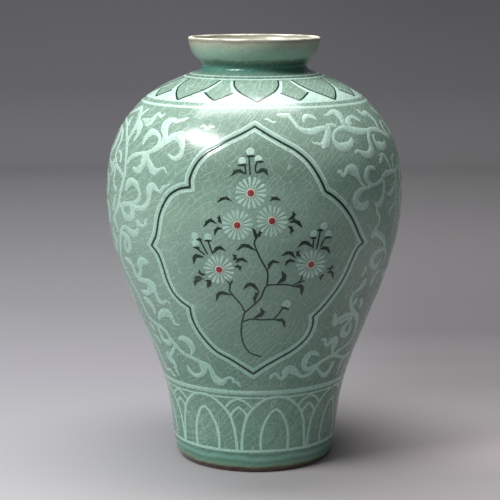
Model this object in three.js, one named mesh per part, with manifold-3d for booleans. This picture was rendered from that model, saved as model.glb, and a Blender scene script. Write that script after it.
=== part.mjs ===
import * as THREE from 'three';
import { mergeVertices } from 'three/addons/utils/BufferGeometryUtils.js';
import Module from 'manifold-3d';

const wasm = await Module();
wasm.setup();

// An inlaid celadon vase of the Korean plum-vase shape, 300 mm tall. It is thrown in three sections
// that are luted together, and white and black slip fills the grooves carved in its wall.
// Millimetres, +Z up. The foot ring stands on z = 0, the axis is x = y = 0, the front faces -Y.
// An angle is in degrees round the axis, 0 at the front and growing towards +X.

// Heights, each one standing on the one before
const FOOT_BAND = 16;
const PANEL_BAND = 44.4;
const BELLY_RISE = 127.6;
const SHOULDER_RISE = 68.2;
const COLLAR_RISE = 19.2;
const NECK_RISE = 4;
const FLARE_RISE = 7.4;
const MOUTH_RISE = 11.4;
const LIP_ROUND = 1.6;

// Outer radii at those heights
const FOOT_RADIUS = 56.3;
const FOOT_LINE_RADIUS = 58.5;
const BAND_RADIUS = 66.2;
const BELLY_RADIUS = 104.5;
const COLLAR_RADIUS = 78.7;
const NECK_ROOT_RADIUS = 42.5;
const NECK_RADIUS = 36.9;
const FLARE_RADIUS = 42.2;
const MOUTH_RADIUS = 46.4;

// Lean of the wall at those heights, in millimetres outwards for each millimetre up
const FOOT_LEAN = 0.1;
const BAND_LEAN = 0.31;
const COLLAR_LEAN = -1.05;
const SHOULDER_TOP_LEAN = -2.75;
const NECK_ROOT_LEAN = -3;
const FLARE_LEAN = 0.75;
const MOUTH_LEAN = 0.27;

// Walls, floor and seams
const WALL = 6.5;
const NECK_WALL = 5;
const FLARE_WALL = 4;
const LIP_WALL = 3.2;
const FLOOR = 8;
const FOOT_RECESS = 5;
const FOOT_RING_WIDTH = 8;
const FOOT_CHAMFER = 1.5;
const SEAM_BELOW_BELLY = 19.4;
const SEAM_GAP = 0.3;

// Slip inlays and the grooves that hold them
const SLIP_DEPTH = 1.5;
const SLIP_GAP = 0.3;
const GROOVE_OPENING = 1.5;
const BRANCH_STEP = 0.05;
const LINE_CLEARANCE = 1;
const NECK_LINE_WIDTH = 1.3;
const NECK_LINE_SPACING = 4.4;
const COLLAR_LINE_WIDTH = 2;
const BAND_LINE_WIDTH = 3.2;
const THIN_LINE_WIDTH = 1.2;
const FOOT_LINE_WIDTH = 1.8;
const FRAME_LINE_WIDTH = 1.5;
const FRAME_OUTER_WIDTH = 2.8;
const FRAME_INNER_WIDTH = 2.5;
const PETAL_LINE_WIDTH = 1.2;
const PANEL_LINE_WIDTH = 1.5;
const STEM_WIDTH = 1.3;

// Chrysanthemum heads
const FLOWER_RADIUS = 10.4;
const FLOWER_PETALS = 10;
const FLOWER_NOTCH = 4.2;
const FLOWER_CENTRE_RADIUS = 2.8;
const FLOWER_CENTRE_SIDES = 8;
const FLOWER_SPACING = 2.2;

// Repeats round the vase
const SEGMENTS = 36;
const PETALS = 8;
const PETAL_TURN = 1.5;
const PANELS = 8;
const PANEL_TURN = 13.5;

// Rows of facets up each stretch of wall
const LOWER_ROWS = 4;
const UPPER_ROWS = 6;
const PANEL_ROWS = 2;
const COLLAR_ROWS = 2;
const LINING_ROWS = 4;
const MOUTH_ROWS = 2;

const RAD = Math.PI / 180;
const FULL_TURN = 360;
const SHARPEST_MITRE = 0.5;
const bandHeight = FOOT_BAND + PANEL_BAND;
const bellyHeight = bandHeight + BELLY_RISE;
const collarHeight = bellyHeight + SHOULDER_RISE;
const neckRootHeight = collarHeight + COLLAR_RISE;
const neckHeight = neckRootHeight + NECK_RISE;
const flareHeight = neckHeight + FLARE_RISE;
const lipHeight = flareHeight + MOUTH_RISE;
const rimHeight = lipHeight + LIP_ROUND;
const seamHeight = bellyHeight - SEAM_BELOW_BELLY;

const bodyStations = [
  { height: 0, radius: FOOT_RADIUS, lean: FOOT_LEAN },
  { height: FOOT_BAND, radius: FOOT_LINE_RADIUS, lean: FOOT_LEAN },
  { height: bandHeight, radius: BAND_RADIUS, lean: BAND_LEAN },
  { height: bellyHeight, radius: BELLY_RADIUS, lean: 0 },
  { height: collarHeight, radius: COLLAR_RADIUS, lean: COLLAR_LEAN },
  { height: neckRootHeight, radius: NECK_ROOT_RADIUS, lean: SHOULDER_TOP_LEAN },
];
const mouthStations = [
  { height: neckRootHeight, radius: NECK_ROOT_RADIUS, lean: NECK_ROOT_LEAN },
  { height: neckHeight, radius: NECK_RADIUS, lean: 0 },
  { height: flareHeight, radius: FLARE_RADIUS, lean: FLARE_LEAN },
  { height: lipHeight, radius: MOUTH_RADIUS, lean: MOUTH_LEAN },
];

// Radius and lean of the outer wall at a height, on a cubic between the two stations beside it
function wallAt(height, stations = bodyStations) {
  const last = stations.length - 2;
  let i = 0;
  while (i < last && height > stations[i + 1].height) i += 1;
  const low = stations[i];
  const high = stations[i + 1];
  const rise = high.height - low.height;
  const t = THREE.MathUtils.clamp((height - low.height) / rise, 0, 1);
  const t2 = t * t;
  const t3 = t2 * t;
  const radius = low.radius * (2 * t3 - 3 * t2 + 1) + high.radius * (3 * t2 - 2 * t3)
    + rise * (low.lean * (t3 - 2 * t2 + t) + high.lean * (t3 - t2));
  const lean = (low.radius - high.radius) * (6 * t2 - 6 * t) / rise
    + low.lean * (3 * t2 - 4 * t + 1) + high.lean * (3 * t2 - 2 * t);
  return { radius, lean };
}

// Radius and height of a point that lies a given depth under the outer wall, square to it
function underWall(height, depth, stations) {
  const { radius, lean } = wallAt(height, stations);
  const slope = Math.hypot(1, lean);
  return [radius - depth / slope, height + depth * lean / slope];
}

// Points under the wall at evenly spaced heights from one height to another
function wallPoints(from, to, rows, depth = 0, stations = bodyStations) {
  const points = [];
  for (let i = 0; i <= rows; i += 1) {
    points.push(underWall(THREE.MathUtils.lerp(from, to, i / rows), depth, stations));
  }
  return points;
}

// A closed solid from its corners and triangles, with its shared corners merged
function solidFrom(positions, index) {
  const geometry = new THREE.BufferGeometry();
  geometry.setAttribute('position', new THREE.Float32BufferAttribute(positions, 3));
  geometry.setIndex([...index]);
  const merged = mergeVertices(geometry, 1e-4);
  const corners = merged.index.array;
  const triangles = [];
  for (let i = 0; i < corners.length; i += 3) {
    const [a, b, c] = [corners[i], corners[i + 1], corners[i + 2]];
    if (a !== b && b !== c && c !== a) triangles.push(a, b, c);
  }
  return new wasm.Manifold(new wasm.Mesh({
    numProp: 3,
    vertProperties: merged.getAttribute('position').array,
    triVerts: Uint32Array.from(triangles),
  }));
}

// A solid of revolution; its profile of [radius, height] runs up the outside and down the inside
function revolve(profile) {
  const points = profile.map(([radius, height]) => new THREE.Vector2(radius, height));
  const geometry = new THREE.LatheGeometry(points, SEGMENTS);
  geometry.rotateX(Math.PI / 2);
  return solidFrom(geometry.getAttribute('position').array, geometry.index.array);
}

// The point at an angle and height, a given depth under the wall
function onWall([angle, height], depth) {
  const [radius, z] = underWall(height, depth);
  return [radius * Math.sin(angle * RAD), -radius * Math.cos(angle * RAD), z];
}

// Moves a point of a drawing by millimetres along the wall, sideways and up
function step([angle, height], sideways, up) {
  const { radius, lean } = wallAt(height);
  return [angle + sideways / (radius * RAD), height + up / Math.hypot(1, lean)];
}

// Millimetres along the wall from one point of a drawing to another, sideways and up
function between(from, to) {
  const { radius, lean } = wallAt((from[1] + to[1]) / 2);
  return new THREE.Vector2((to[0] - from[0]) * radius * RAD, (to[1] - from[1]) * Math.hypot(1, lean));
}

// A path moved sideways to its right, mitred at its corners
function shifted(path, shift, closed) {
  const count = path.length;
  return path.map((point, i) => {
    const before = closed ? path[(i + count - 1) % count] : path[Math.max(i - 1, 0)];
    const after = closed ? path[(i + 1) % count] : path[Math.min(i + 1, count - 1)];
    const arriving = between(before, point);
    const leaving = between(point, after);
    if (arriving.length() === 0) arriving.copy(leaving);
    if (leaving.length() === 0) leaving.copy(arriving);
    arriving.normalize();
    leaving.normalize();
    const right = new THREE.Vector2(arriving.y + leaving.y, -arriving.x - leaving.x);
    right.multiplyScalar(shift / Math.max(1 + arriving.dot(leaving), SHARPEST_MITRE));
    return step(point, right.x, right.y);
  });
}

// The solid between two depths under the wall, inside an anticlockwise outline and round a hole
function patch(outline, hole, top, bottom) {
  const flat = (points) => (
    points.map(([angle, height]) => new THREE.Vector2(angle * RAD * BELLY_RADIUS, height))
  );
  const points = [...outline, ...hole];
  const corners = flat(points);
  const holes = hole.length > 0 ? [flat(hole)] : [];
  const count = points.length;
  const positions = [];
  for (const depth of [top, bottom]) {
    for (const point of points) positions.push(...onWall(point, depth));
  }
  const index = [];
  for (const [a, b, c] of THREE.ShapeUtils.triangulateShape(flat(outline), holes)) {
    const turnsLeft = THREE.ShapeUtils.area([corners[a], corners[b], corners[c]]) > 0;
    const [p, q] = turnsLeft ? [b, c] : [c, b];
    index.push(a, p, q, a + count, q + count, p + count);
  }
  const wall = (i, j) => index.push(i, i + count, j + count, i, j + count, j);
  for (let i = 0; i < outline.length; i += 1) wall(i, (i + 1) % outline.length);
  const first = outline.length;
  for (let i = 0; i < hole.length; i += 1) wall(first + (i + 1) % hole.length, first + i);
  return solidFrom(positions, index);
}

// The solid between two depths under the wall, in a band between two sides of a path. The band
// follows the curve of the wall step by step.
function band({ right, left, closed }, top, bottom) {
  const count = right.length;
  const positions = [];
  for (const depth of [top, bottom]) {
    for (const point of [...right, ...left]) positions.push(...onWall(point, depth));
  }
  const index = [];
  const below = 2 * count;
  const quad = (a, b, c, d) => index.push(a, b, c, a, c, d);
  const wall = (i, j) => quad(i, i + below, j + below, j);
  for (let i = 0; i < (closed ? count : count - 1); i += 1) {
    const j = (i + 1) % count;
    quad(i, j, j + count, i + count);
    quad(i + count + below, j + count + below, j + below, i + below);
    wall(i, j);
    wall(j + count, i + count);
  }
  if (!closed) {
    wall(count, 0);
    wall(count - 1, 2 * count - 1);
  }
  return solidFrom(positions, index);
}

// The sides of a stroke along an open path, square at both ends and grown by a margin
function strokeSides(path, width, margin = 0) {
  const line = [...path];
  if (margin > 0) {
    const last = path.length - 1;
    const tail = between(path[1], path[0]).setLength(margin);
    const head = between(path[last - 1], path[last]).setLength(margin);
    line[0] = step(path[0], tail.x, tail.y);
    line[last] = step(path[last], head.x, head.y);
  }
  const halfWidth = width / 2 + margin;
  return { right: shifted(line, halfWidth, false), left: shifted(line, -halfWidth, false), closed: false };
}

const vase = new THREE.Group();
const grooves = [];

const materials = {
  clay: () => new THREE.MeshStandardMaterial({ color: 0x7c9a8a, roughness: 0.22, metalness: 0 }),
  white: () => new THREE.MeshStandardMaterial({ color: 0xb9d6c8, roughness: 0.24, metalness: 0 }),
  black: () => new THREE.MeshStandardMaterial({ color: 0x24332d, roughness: 0.24, metalness: 0 }),
  red: () => new THREE.MeshStandardMaterial({ color: 0x8e3b36, roughness: 0.26, metalness: 0 }),
};

function addPiece(name, kind, solid) {
  const { vertProperties, triVerts } = solid.getMesh();
  const geometry = new THREE.BufferGeometry();
  geometry.setAttribute('position', new THREE.Float32BufferAttribute(vertProperties, 3));
  geometry.setIndex(new THREE.Uint32BufferAttribute(triVerts, 1));
  geometry.computeVertexNormals();
  const mesh = new THREE.Mesh(geometry, materials[kind]());
  mesh.name = name;
  vase.add(mesh);
}

// A patch of slip, and the pocket for a patch; a pocket is wider and deeper by the slip gap
function inlayPatch(name, kind, outline, hole = []) {
  addPiece(name, kind, patch(outline, hole, 0, SLIP_DEPTH));
}

function carvePatch(outline) {
  grooves.push(patch(outline, [], -GROOVE_OPENING, SLIP_DEPTH + SLIP_GAP));
}

function carveBand(sides) {
  grooves.push(band(sides, -GROOVE_OPENING, SLIP_DEPTH + SLIP_GAP));
}

// Strokes that run into one another make one solid; each later stroke is a hair thinner, so that
// no two faces lie in one plane where they cross
function inlayStrokes(name, kind, width, paths) {
  let solid = null;
  paths.forEach((path, i) => {
    const inset = i * BRANCH_STEP;
    const stroke = band(strokeSides(path, width), inset, SLIP_DEPTH - inset);
    solid = solid ? solid.add(stroke) : stroke;
    carveBand(strokeSides(path, width, SLIP_GAP));
  });
  addPiece(name, kind, solid);
}

const slopeAt = (height) => Math.hypot(1, wallAt(height).lean);

// A line of slip right round the vase, and its groove in the profile of the wall
function lineSolid({ height, width }) {
  const halfRise = width / 2 / slopeAt(height);
  const [low, high] = [height - halfRise, height + halfRise];
  const foot = underWall(low, SLIP_DEPTH);
  return revolve([foot, underWall(low, 0), underWall(high, 0), underWall(high, SLIP_DEPTH), foot]);
}

function lineGroove({ height, width }) {
  const halfRise = (width / 2 + SLIP_GAP) / slopeAt(height);
  const [low, high] = [height - halfRise, height + halfRise];
  const depth = SLIP_DEPTH + SLIP_GAP;
  return [underWall(low, 0), underWall(low, depth), underWall(high, depth), underWall(high, 0)];
}

// A line under another one, with room between them for both grooves and a strip of clay
function lineUnder(upper, width) {
  const spacing = upper.width / 2 + width / 2 + 2 * SLIP_GAP + LINE_CLEARANCE;
  return { height: upper.height - spacing / slopeAt(upper.height), width };
}

const neckSeam = { height: neckRootHeight, width: 0 };
const neckLineUpper = lineUnder(neckSeam, NECK_LINE_WIDTH);
const neckLineLower = {
  height: neckLineUpper.height - NECK_LINE_SPACING / slopeAt(neckLineUpper.height),
  width: NECK_LINE_WIDTH,
};
const collarLine = { height: collarHeight, width: COLLAR_LINE_WIDTH };
const bandLineUpper = { height: bandHeight, width: BAND_LINE_WIDTH };
const bandLineLower = lineUnder(bandLineUpper, THIN_LINE_WIDTH);
const footLine = { height: FOOT_BAND, width: FOOT_LINE_WIDTH };

// The shoulder collar: green petals stand in a white ground, with black lines at their edges.
// Petals are drawn as [half angle, share of the ground's height], from the tip up one side.
const PETAL_SIDE = [[0, 0.1], [5, 0.31], [12, 0.58], [17, 1.15]];
const TIP_SIDE = [[0, 0.14], [8.8, 0.46]];
const TIP_TOP = [2.6, 1.15];
const groundLow = collarHeight
  + (COLLAR_LINE_WIDTH / 2 + 2 * SLIP_GAP + LINE_CLEARANCE) / slopeAt(collarHeight);
const groundHigh = neckLineLower.height
  - (NECK_LINE_WIDTH / 2 + 2 * SLIP_GAP + LINE_CLEARANCE) / slopeAt(neckLineLower.height);

function groundRing(margin, opening, depth) {
  const low = groundLow - margin / slopeAt(groundLow);
  const high = groundHigh + margin / slopeAt(groundHigh);
  const outside = wallPoints(low, high, COLLAR_ROWS, -opening);
  const inside = wallPoints(low, high, COLLAR_ROWS, depth).reverse();
  return revolve([...outside, ...inside, outside[0]]);
}

// Both sides of a half drawing, from its far end over the middle, set on the wall round a centre
function mirrored(half, place) {
  const left = half.slice(1).reverse().map(([angle, share]) => [-angle, share]);
  return [...left, ...half].map(place);
}

function collar() {
  const cutter = (outline) => patch(outline, [], -2 * GROOVE_OPENING, 2 * (SLIP_DEPTH + SLIP_GAP));
  const margin = PETAL_LINE_WIDTH / 2 + SLIP_GAP;
  let ground = groundRing(0, 0, SLIP_DEPTH);
  let recess = groundRing(SLIP_GAP, GROOVE_OPENING, SLIP_DEPTH + SLIP_GAP);
  const placeAt = (centre) => ([angle, share]) => (
    [centre + angle, THREE.MathUtils.lerp(groundLow, groundHigh, share)]
  );
  for (let i = 0; i < PETALS; i += 1) {
    const atPetal = placeAt(PETAL_TURN + FULL_TURN * i / PETALS);
    const atTip = placeAt(PETAL_TURN + FULL_TURN * (i + 0.5) / PETALS);
    const petal = mirrored(PETAL_SIDE, atPetal);
    const tip = mirrored([...TIP_SIDE, TIP_TOP], atTip);
    for (const outline of [petal, tip]) {
      ground = ground.subtract(cutter(shifted(outline, margin, true)));
      recess = recess.subtract(cutter(shifted(outline, -margin, true)));
    }
    const petalLine = mirrored(PETAL_SIDE.slice(0, -1), atPetal);
    const tipLine = mirrored(TIP_SIDE, atTip);
    const line = (name, path) => (
      addPiece(`${name}_${i + 1}`, 'black', band(strokeSides(path, PETAL_LINE_WIDTH), 0, SLIP_DEPTH))
    );
    line('collar_petal_line', petalLine);
    line('collar_tip_line', tipLine);
  }
  addPiece('collar_ground', 'white', ground);
  grooves.push(recess);
}

// The field between the band lines and the collar is drawn in [angle, millimetres above the band
// line], for a field of this height
const FIELD_DRAWN = 195.8;
const inField = (turn) => ([angle, rise]) => (
  [angle + turn, bandHeight + rise * (collarHeight - bandHeight) / FIELD_DRAWN]
);

// Medallion: eight lobes from cusp to cusp, anticlockwise from the tip at its foot
const LOBES = [
  [[-0.6, 15], [12.9, 26.7], [23.3, 36.3], [27.3, 47], [26.9, 56.3]],
  [[26.9, 56.3], [30.5, 62.5], [36.7, 77], [40.5, 94], [45.3, 106]],
  [[45.3, 106], [40.2, 118], [33.5, 133.5], [26.6, 143]],
  [[26.6, 143], [25, 150], [20, 163.5], [11, 174.5], [0, 185]],
  [[0, 185], [-10.4, 176.2], [-18.4, 168], [-23.2, 156], [-23.8, 146.1]],
  [[-23.8, 146.1], [-32, 140.3], [-37, 125], [-42, 104.5]],
  [[-42, 104.5], [-38, 90], [-35.6, 72.4], [-28.7, 62.8]],
  [[-28.7, 62.8], [-28.4, 52], [-23.8, 38], [-12.8, 26], [-0.6, 15]],
];
const LOBE_STEPS = 3;

// Flowers: three close together at the top and two below
const CLUSTER_CENTRE = [-0.4, 130.4];
const CLUSTER_ANGLES = [97, 217, 337];
const LOW_FLOWERS = [[-13.4, 91.9], [21.9, 94.5]];

const STEMS = [
  [[3, 28.4], [-5.6, 43.1], [-4.2, 61]],
  [[-4.2, 60], [-9, 72], [-10, 80.5]],
  [[-4.5, 60], [4.8, 81]],
  [[4.2, 80.4], [10, 81.8], [18, 78.4]],
  [[4.8, 80], [4.4, 94], [0.8, 114]],
  [[-5.6, 55.2], [3, 57.4], [11.4, 54.1]],
];

function ring(centre, radii, count) {
  const outline = [];
  for (let i = 0; i < count; i += 1) {
    const angle = 2 * Math.PI * i / count;
    const radius = radii[i % radii.length];
    outline.push(step(centre, radius * Math.cos(angle), radius * Math.sin(angle)));
  }
  return outline;
}

// A chrysanthemum head: a white star of petals round a red centre
function flower(side, number, centre) {
  const star = ring(centre, [FLOWER_RADIUS, FLOWER_RADIUS - FLOWER_NOTCH], 2 * FLOWER_PETALS);
  const eye = ring(centre, [FLOWER_CENTRE_RADIUS + SLIP_GAP], FLOWER_CENTRE_SIDES);
  inlayPatch(`${side}_flower_${number}`, 'white', star, eye);
  inlayPatch(
    `${side}_flower_centre_${number}`,
    'red',
    ring(centre, [FLOWER_CENTRE_RADIUS], FLOWER_CENTRE_SIDES),
  );
  carvePatch(shifted(star, SLIP_GAP, true));
}

function medallion(side, turn) {
  const place = inField(turn);
  const path = LOBES.flatMap((lobe) => {
    const curve = new THREE.SplineCurve(lobe.map(([angle, rise]) => new THREE.Vector2(angle, rise)));
    return curve.getPoints(LOBE_STEPS).slice(0, -1).map(({ x, y }) => place([x, y]));
  });
  const ribbon = (inner, outer) => (
    { right: shifted(path, outer, true), left: shifted(path, inner, true), closed: true }
  );
  const frame = (name, kind, sides) => addPiece(`${side}_${name}`, kind, band(sides, 0, SLIP_DEPTH));
  const lineEdge = FRAME_LINE_WIDTH / 2;
  const whiteEdge = lineEdge + SLIP_GAP;
  const outerEdge = whiteEdge + FRAME_OUTER_WIDTH;
  const innerEdge = whiteEdge + FRAME_INNER_WIDTH;
  frame('frame_line', 'black', ribbon(-lineEdge, lineEdge));
  frame('frame_outer', 'white', ribbon(whiteEdge, outerEdge));
  frame('frame_inner', 'white', ribbon(-innerEdge, -whiteEdge));
  carveBand(ribbon(-innerEdge - SLIP_GAP, outerEdge + SLIP_GAP));

  const clusterRadius = (2 * FLOWER_RADIUS + FLOWER_SPACING) / Math.sqrt(3);
  const cluster = CLUSTER_ANGLES.map((angle) => step(
    place(CLUSTER_CENTRE),
    clusterRadius * Math.cos(angle * RAD),
    clusterRadius * Math.sin(angle * RAD),
  ));
  [...cluster, ...LOW_FLOWERS.map(place)].forEach((centre, i) => flower(side, i + 1, centre));
  inlayStrokes(`${side}_stem`, 'black', STEM_WIDTH, STEMS.map((path) => path.map(place)));
}

// Lotus panels between the foot line and the band lines. Arches are drawn as [half angle, share of
// the panel height], from the crown down one side, for a panel 45 degrees wide.
const ARCH = [[0, 0.99], [10, 0.88], [18, 0.6], [21, 0.02]];
const PANEL_DRAWN = 45;

function lotusPanels() {
  const clearance = (THIN_LINE_WIDTH + PANEL_LINE_WIDTH) / 2 + 2 * SLIP_GAP;
  const top = bandLineLower.height - clearance / slopeAt(bandHeight);
  const panelTurn = FULL_TURN / PANELS;
  let lines = lineSolid(footLine);
  for (let i = 0; i < PANELS; i += 1) {
    const centre = PANEL_TURN + panelTurn * i;
    const place = ([angle, share]) => (
      [centre + angle * panelTurn / PANEL_DRAWN, THREE.MathUtils.lerp(FOOT_BAND, top, share)]
    );
    const path = mirrored(ARCH, place);
    lines = lines.add(band(strokeSides(path, PANEL_LINE_WIDTH), BRANCH_STEP, SLIP_DEPTH - BRANCH_STEP));
    carveBand(strokeSides(path, PANEL_LINE_WIDTH, SLIP_GAP));
  }
  addPiece('panel_lines', 'white', lines);
}

// The foot ring, floor and wall up to the lower seam
function lowerBody() {
  const ringInner = FOOT_RADIUS - FOOT_RING_WIDTH;
  const floorTop = FOOT_RECESS + FLOOR;
  const lining = wallPoints(seamHeight, floorTop + WALL, LINING_ROWS, WALL);
  const [[seamBore], [liningFoot]] = [lining[0], lining.at(-1)];
  return revolve([
    [0, FOOT_RECESS],
    [ringInner - FOOT_CHAMFER, FOOT_RECESS],
    [ringInner, 0],
    [FOOT_RADIUS - FOOT_CHAMFER, 0],
    underWall(FOOT_CHAMFER, 0),
    ...lineGroove(footLine),
    ...wallPoints(FOOT_BAND, bandLineLower.height, PANEL_ROWS).slice(1, -1),
    ...lineGroove(bandLineLower),
    ...lineGroove(bandLineUpper),
    ...wallPoints(bandHeight, seamHeight, LOWER_ROWS).slice(1),
    [seamBore, seamHeight],
    ...lining.slice(1),
    [liningFoot - WALL, floorTop],
    [0, floorTop],
  ]);
}

// The wall from the lower seam to a flat seat for the neck
function upperBody() {
  const bottom = seamHeight + SEAM_GAP;
  const bore = NECK_RADIUS - NECK_WALL;
  const lining = wallPoints(groundLow, bottom, LINING_ROWS, WALL);
  const [seamBore] = lining.at(-1);
  const outside = [
    ...wallPoints(bottom, collarHeight, UPPER_ROWS).slice(0, -1),
    ...lineGroove(collarLine),
    ...wallPoints(groundLow, groundHigh, COLLAR_ROWS),
    ...lineGroove(neckLineLower),
    ...lineGroove(neckLineUpper),
    underWall(neckRootHeight, 0),
  ];
  return revolve([
    ...outside,
    [bore, neckRootHeight],
    [bore, neckRootHeight - WALL],
    ...lining.slice(0, -1),
    [seamBore, bottom],
    outside[0],
  ]);
}

// The waisted neck and the flared mouth with its rounded lip
function neckAndMouth() {
  const bottom = neckRootHeight + SEAM_GAP;
  const bore = NECK_RADIUS - NECK_WALL;
  const lipInner = MOUTH_RADIUS - LIP_WALL;
  const outside = [
    ...wallPoints(bottom, neckHeight, MOUTH_ROWS, 0, mouthStations),
    ...wallPoints(neckHeight, flareHeight, MOUTH_ROWS, 0, mouthStations).slice(1),
    ...wallPoints(flareHeight, lipHeight, MOUTH_ROWS, 0, mouthStations).slice(1),
  ];
  return revolve([
    ...outside,
    [MOUTH_RADIUS - LIP_ROUND / 4, rimHeight - LIP_ROUND / 4],
    [MOUTH_RADIUS - LIP_WALL / 2, rimHeight],
    [lipInner, rimHeight - LIP_ROUND / 2],
    [FLARE_RADIUS - FLARE_WALL, flareHeight],
    [bore, neckHeight],
    [bore, bottom],
    outside[0],
  ]);
}

addPiece('neck_line_upper', 'white', lineSolid(neckLineUpper));
addPiece('neck_line_lower', 'white', lineSolid(neckLineLower));
addPiece('collar_line', 'white', lineSolid(collarLine));
addPiece('band_line_upper', 'white', lineSolid(bandLineUpper));
addPiece('band_line_lower', 'white', lineSolid(bandLineLower));
collar();
lotusPanels();
medallion('front', 0);
medallion('back', 180);

const carved = (section) => grooves.reduce((body, groove) => body.subtract(groove), section);
addPiece('lower_body', 'clay', carved(lowerBody()));
addPiece('upper_body', 'clay', carved(upperBody()));
addPiece('neck_and_mouth', 'clay', neckAndMouth());

export default vase;
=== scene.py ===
import math
import random

import bpy
import numpy as np
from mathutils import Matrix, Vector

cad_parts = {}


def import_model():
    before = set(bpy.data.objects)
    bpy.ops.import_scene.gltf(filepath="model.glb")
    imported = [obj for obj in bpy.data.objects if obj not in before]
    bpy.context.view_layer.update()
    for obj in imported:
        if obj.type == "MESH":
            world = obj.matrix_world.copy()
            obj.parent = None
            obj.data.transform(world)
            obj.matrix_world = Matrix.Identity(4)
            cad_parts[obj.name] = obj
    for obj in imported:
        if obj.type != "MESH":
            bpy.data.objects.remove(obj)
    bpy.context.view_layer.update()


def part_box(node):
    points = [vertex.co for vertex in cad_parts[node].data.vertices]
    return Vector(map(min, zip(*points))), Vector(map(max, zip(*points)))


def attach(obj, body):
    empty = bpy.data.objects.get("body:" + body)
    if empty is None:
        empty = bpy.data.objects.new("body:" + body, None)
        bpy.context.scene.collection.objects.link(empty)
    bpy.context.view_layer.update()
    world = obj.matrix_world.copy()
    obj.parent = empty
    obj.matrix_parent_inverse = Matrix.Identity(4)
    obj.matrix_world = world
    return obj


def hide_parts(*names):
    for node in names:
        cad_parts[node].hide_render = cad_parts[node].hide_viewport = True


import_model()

# An inlaid celadon vase of the Korean plum-vase shape. Drawings are in millimetres and in degrees
# round the axis, 0 at the front and growing towards +X. A drawn point is (degrees, height).
MM = 0.001

# The wall, from the frame where a node's box gives the size
NECK_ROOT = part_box("upper_body")[1].z / MM
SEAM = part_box("lower_body")[1].z / MM
BELLY_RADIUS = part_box("upper_body")[1].x / MM
MOUTH_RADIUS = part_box("neck_and_mouth")[1].x / MM
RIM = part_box("neck_and_mouth")[1].z / MM
FOOT_LINE = 16
BAND = 60.4
BELLY = SEAM + 19.4
COLLAR = NECK_ROOT - 19.2
NECK = NECK_ROOT + 4
FLARE = NECK + 7.4
LIP = RIM - 1.6
FOOT_RADIUS = 56.3
NECK_RADIUS = 36.9
WALL = 6.5
NECK_WALL = 5
LIP_WALL = 3.2
FOOT_RECESS = 5
FLOOR_TOP = 13
FOOT_RING = 8

# Height, radius, and lean outwards for each millimetre up
BODY_WALL = [
    (0, FOOT_RADIUS, 0.1),
    (FOOT_LINE, 58.5, 0.1),
    (BAND, 66.2, 0.31),
    (BELLY, BELLY_RADIUS, 0),
    (COLLAR, 78.7, -1.05),
    (NECK_ROOT, 42.5, -2.75),
]
MOUTH_WALL = [
    (NECK_ROOT, 42.5, -3),
    (NECK, NECK_RADIUS, 0),
    (FLARE, 42.2, 0.75),
    (LIP, MOUTH_RADIUS, 0.27),
]


def wall(height, stations=BODY_WALL):
    """Radius and lean of the outer wall at a height."""
    heights, radii, leans = (np.array(column, float) for column in zip(*stations))
    height = np.asarray(height, float)
    i = np.clip(np.searchsorted(heights, height, side="right") - 1, 0, len(heights) - 2)
    rise = heights[i + 1] - heights[i]
    t = np.clip((height - heights[i]) / rise, 0, 1)
    low, high = radii[i], radii[i + 1]
    radius = low + (high - low) * (3 * t**2 - 2 * t**3)
    radius = radius + rise * (leans[i] * (t**3 - 2 * t**2 + t) + leans[i + 1] * (t**3 - t**2))
    lean = (high - low) * (6 * t - 6 * t**2) / rise
    lean = lean + leans[i] * (3 * t**2 - 4 * t + 1) + leans[i + 1] * (3 * t**2 - 2 * t)
    return radius, lean


def on_wall(points, lift=0.0):
    """Drawn points as places in space, in metres, lifted off the wall, and the wall's normals there."""
    points = np.asarray(points, float)
    radius, lean = wall(points[:, 1])
    slope = np.hypot(1, lean)
    turn = np.radians(points[:, 0])
    normal = np.stack([np.sin(turn), -np.cos(turn), -lean], axis=1) / slope[:, None]
    place = np.stack([radius * np.sin(turn), -radius * np.cos(turn), points[:, 1]], axis=1)
    return (place + normal * np.reshape(lift, (-1, 1))) * MM, normal


def millimetres(points):
    """Size on the wall of one degree sideways and of one millimetre of height, at drawn points."""
    radius, lean = wall(np.asarray(points, float)[..., 1])
    return np.stack([radius * math.pi / 180, np.hypot(1, lean)], axis=-1)


def moved(points, sideways, up):
    """Drawn points moved by millimetres along the wall."""
    shift = np.stack(np.broadcast_arrays(sideways, up), axis=-1)
    return np.asarray(points, float) + shift / millimetres(points)


def lengths(points):
    """Distance along a drawn path at each of its points."""
    middle = (points[1:] + points[:-1]) / 2
    gaps = (points[1:] - points[:-1])[:, :2] * millimetres(middle)
    return np.concatenate([[0], np.cumsum(np.linalg.norm(gaps, axis=1))])


def unit(vectors):
    """Vectors, one to a row, at a length of 1."""
    return vectors / np.maximum(np.linalg.norm(vectors, axis=-1, keepdims=True), 1e-9)


CURVE_STEP = 0.6


def curve(points):
    """Points close together on a smooth curve through drawn points."""
    points = np.array(points, float)
    run = np.concatenate([2 * points[:1] - points[1:2], points, 2 * points[-1:] - points[-2:-1]])
    at = lengths(run)
    out = []
    for i in range(1, len(run) - 2):
        gap = at[i + 1] - at[i]
        leaving = (run[i + 1] - run[i - 1]) / (at[i + 1] - at[i - 1]) * gap
        arriving = (run[i + 2] - run[i]) / (at[i + 2] - at[i]) * gap
        t = np.linspace(0, 1, max(3, math.ceil(gap / CURVE_STEP)), endpoint=False)[:, None]
        out.append(
            run[i] * (2 * t**3 - 3 * t**2 + 1)
            + run[i + 1] * (3 * t**2 - 2 * t**3)
            + leaving * (t**3 - 2 * t**2 + t)
            + arriving * (t**3 - t**2)
        )
    return np.concatenate([*out, points[-1:]])


def resampled(path, at):
    """The points of a path at the given distances along it."""
    along = lengths(path)
    return np.stack([np.interp(at, along, column) for column in path.T], axis=1)


def evenly(path, count):
    """That many points of a path, evenly spaced from end to end."""
    path = np.asarray(path, float)
    return resampled(path, np.linspace(0, lengths(path)[-1], count))


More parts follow.
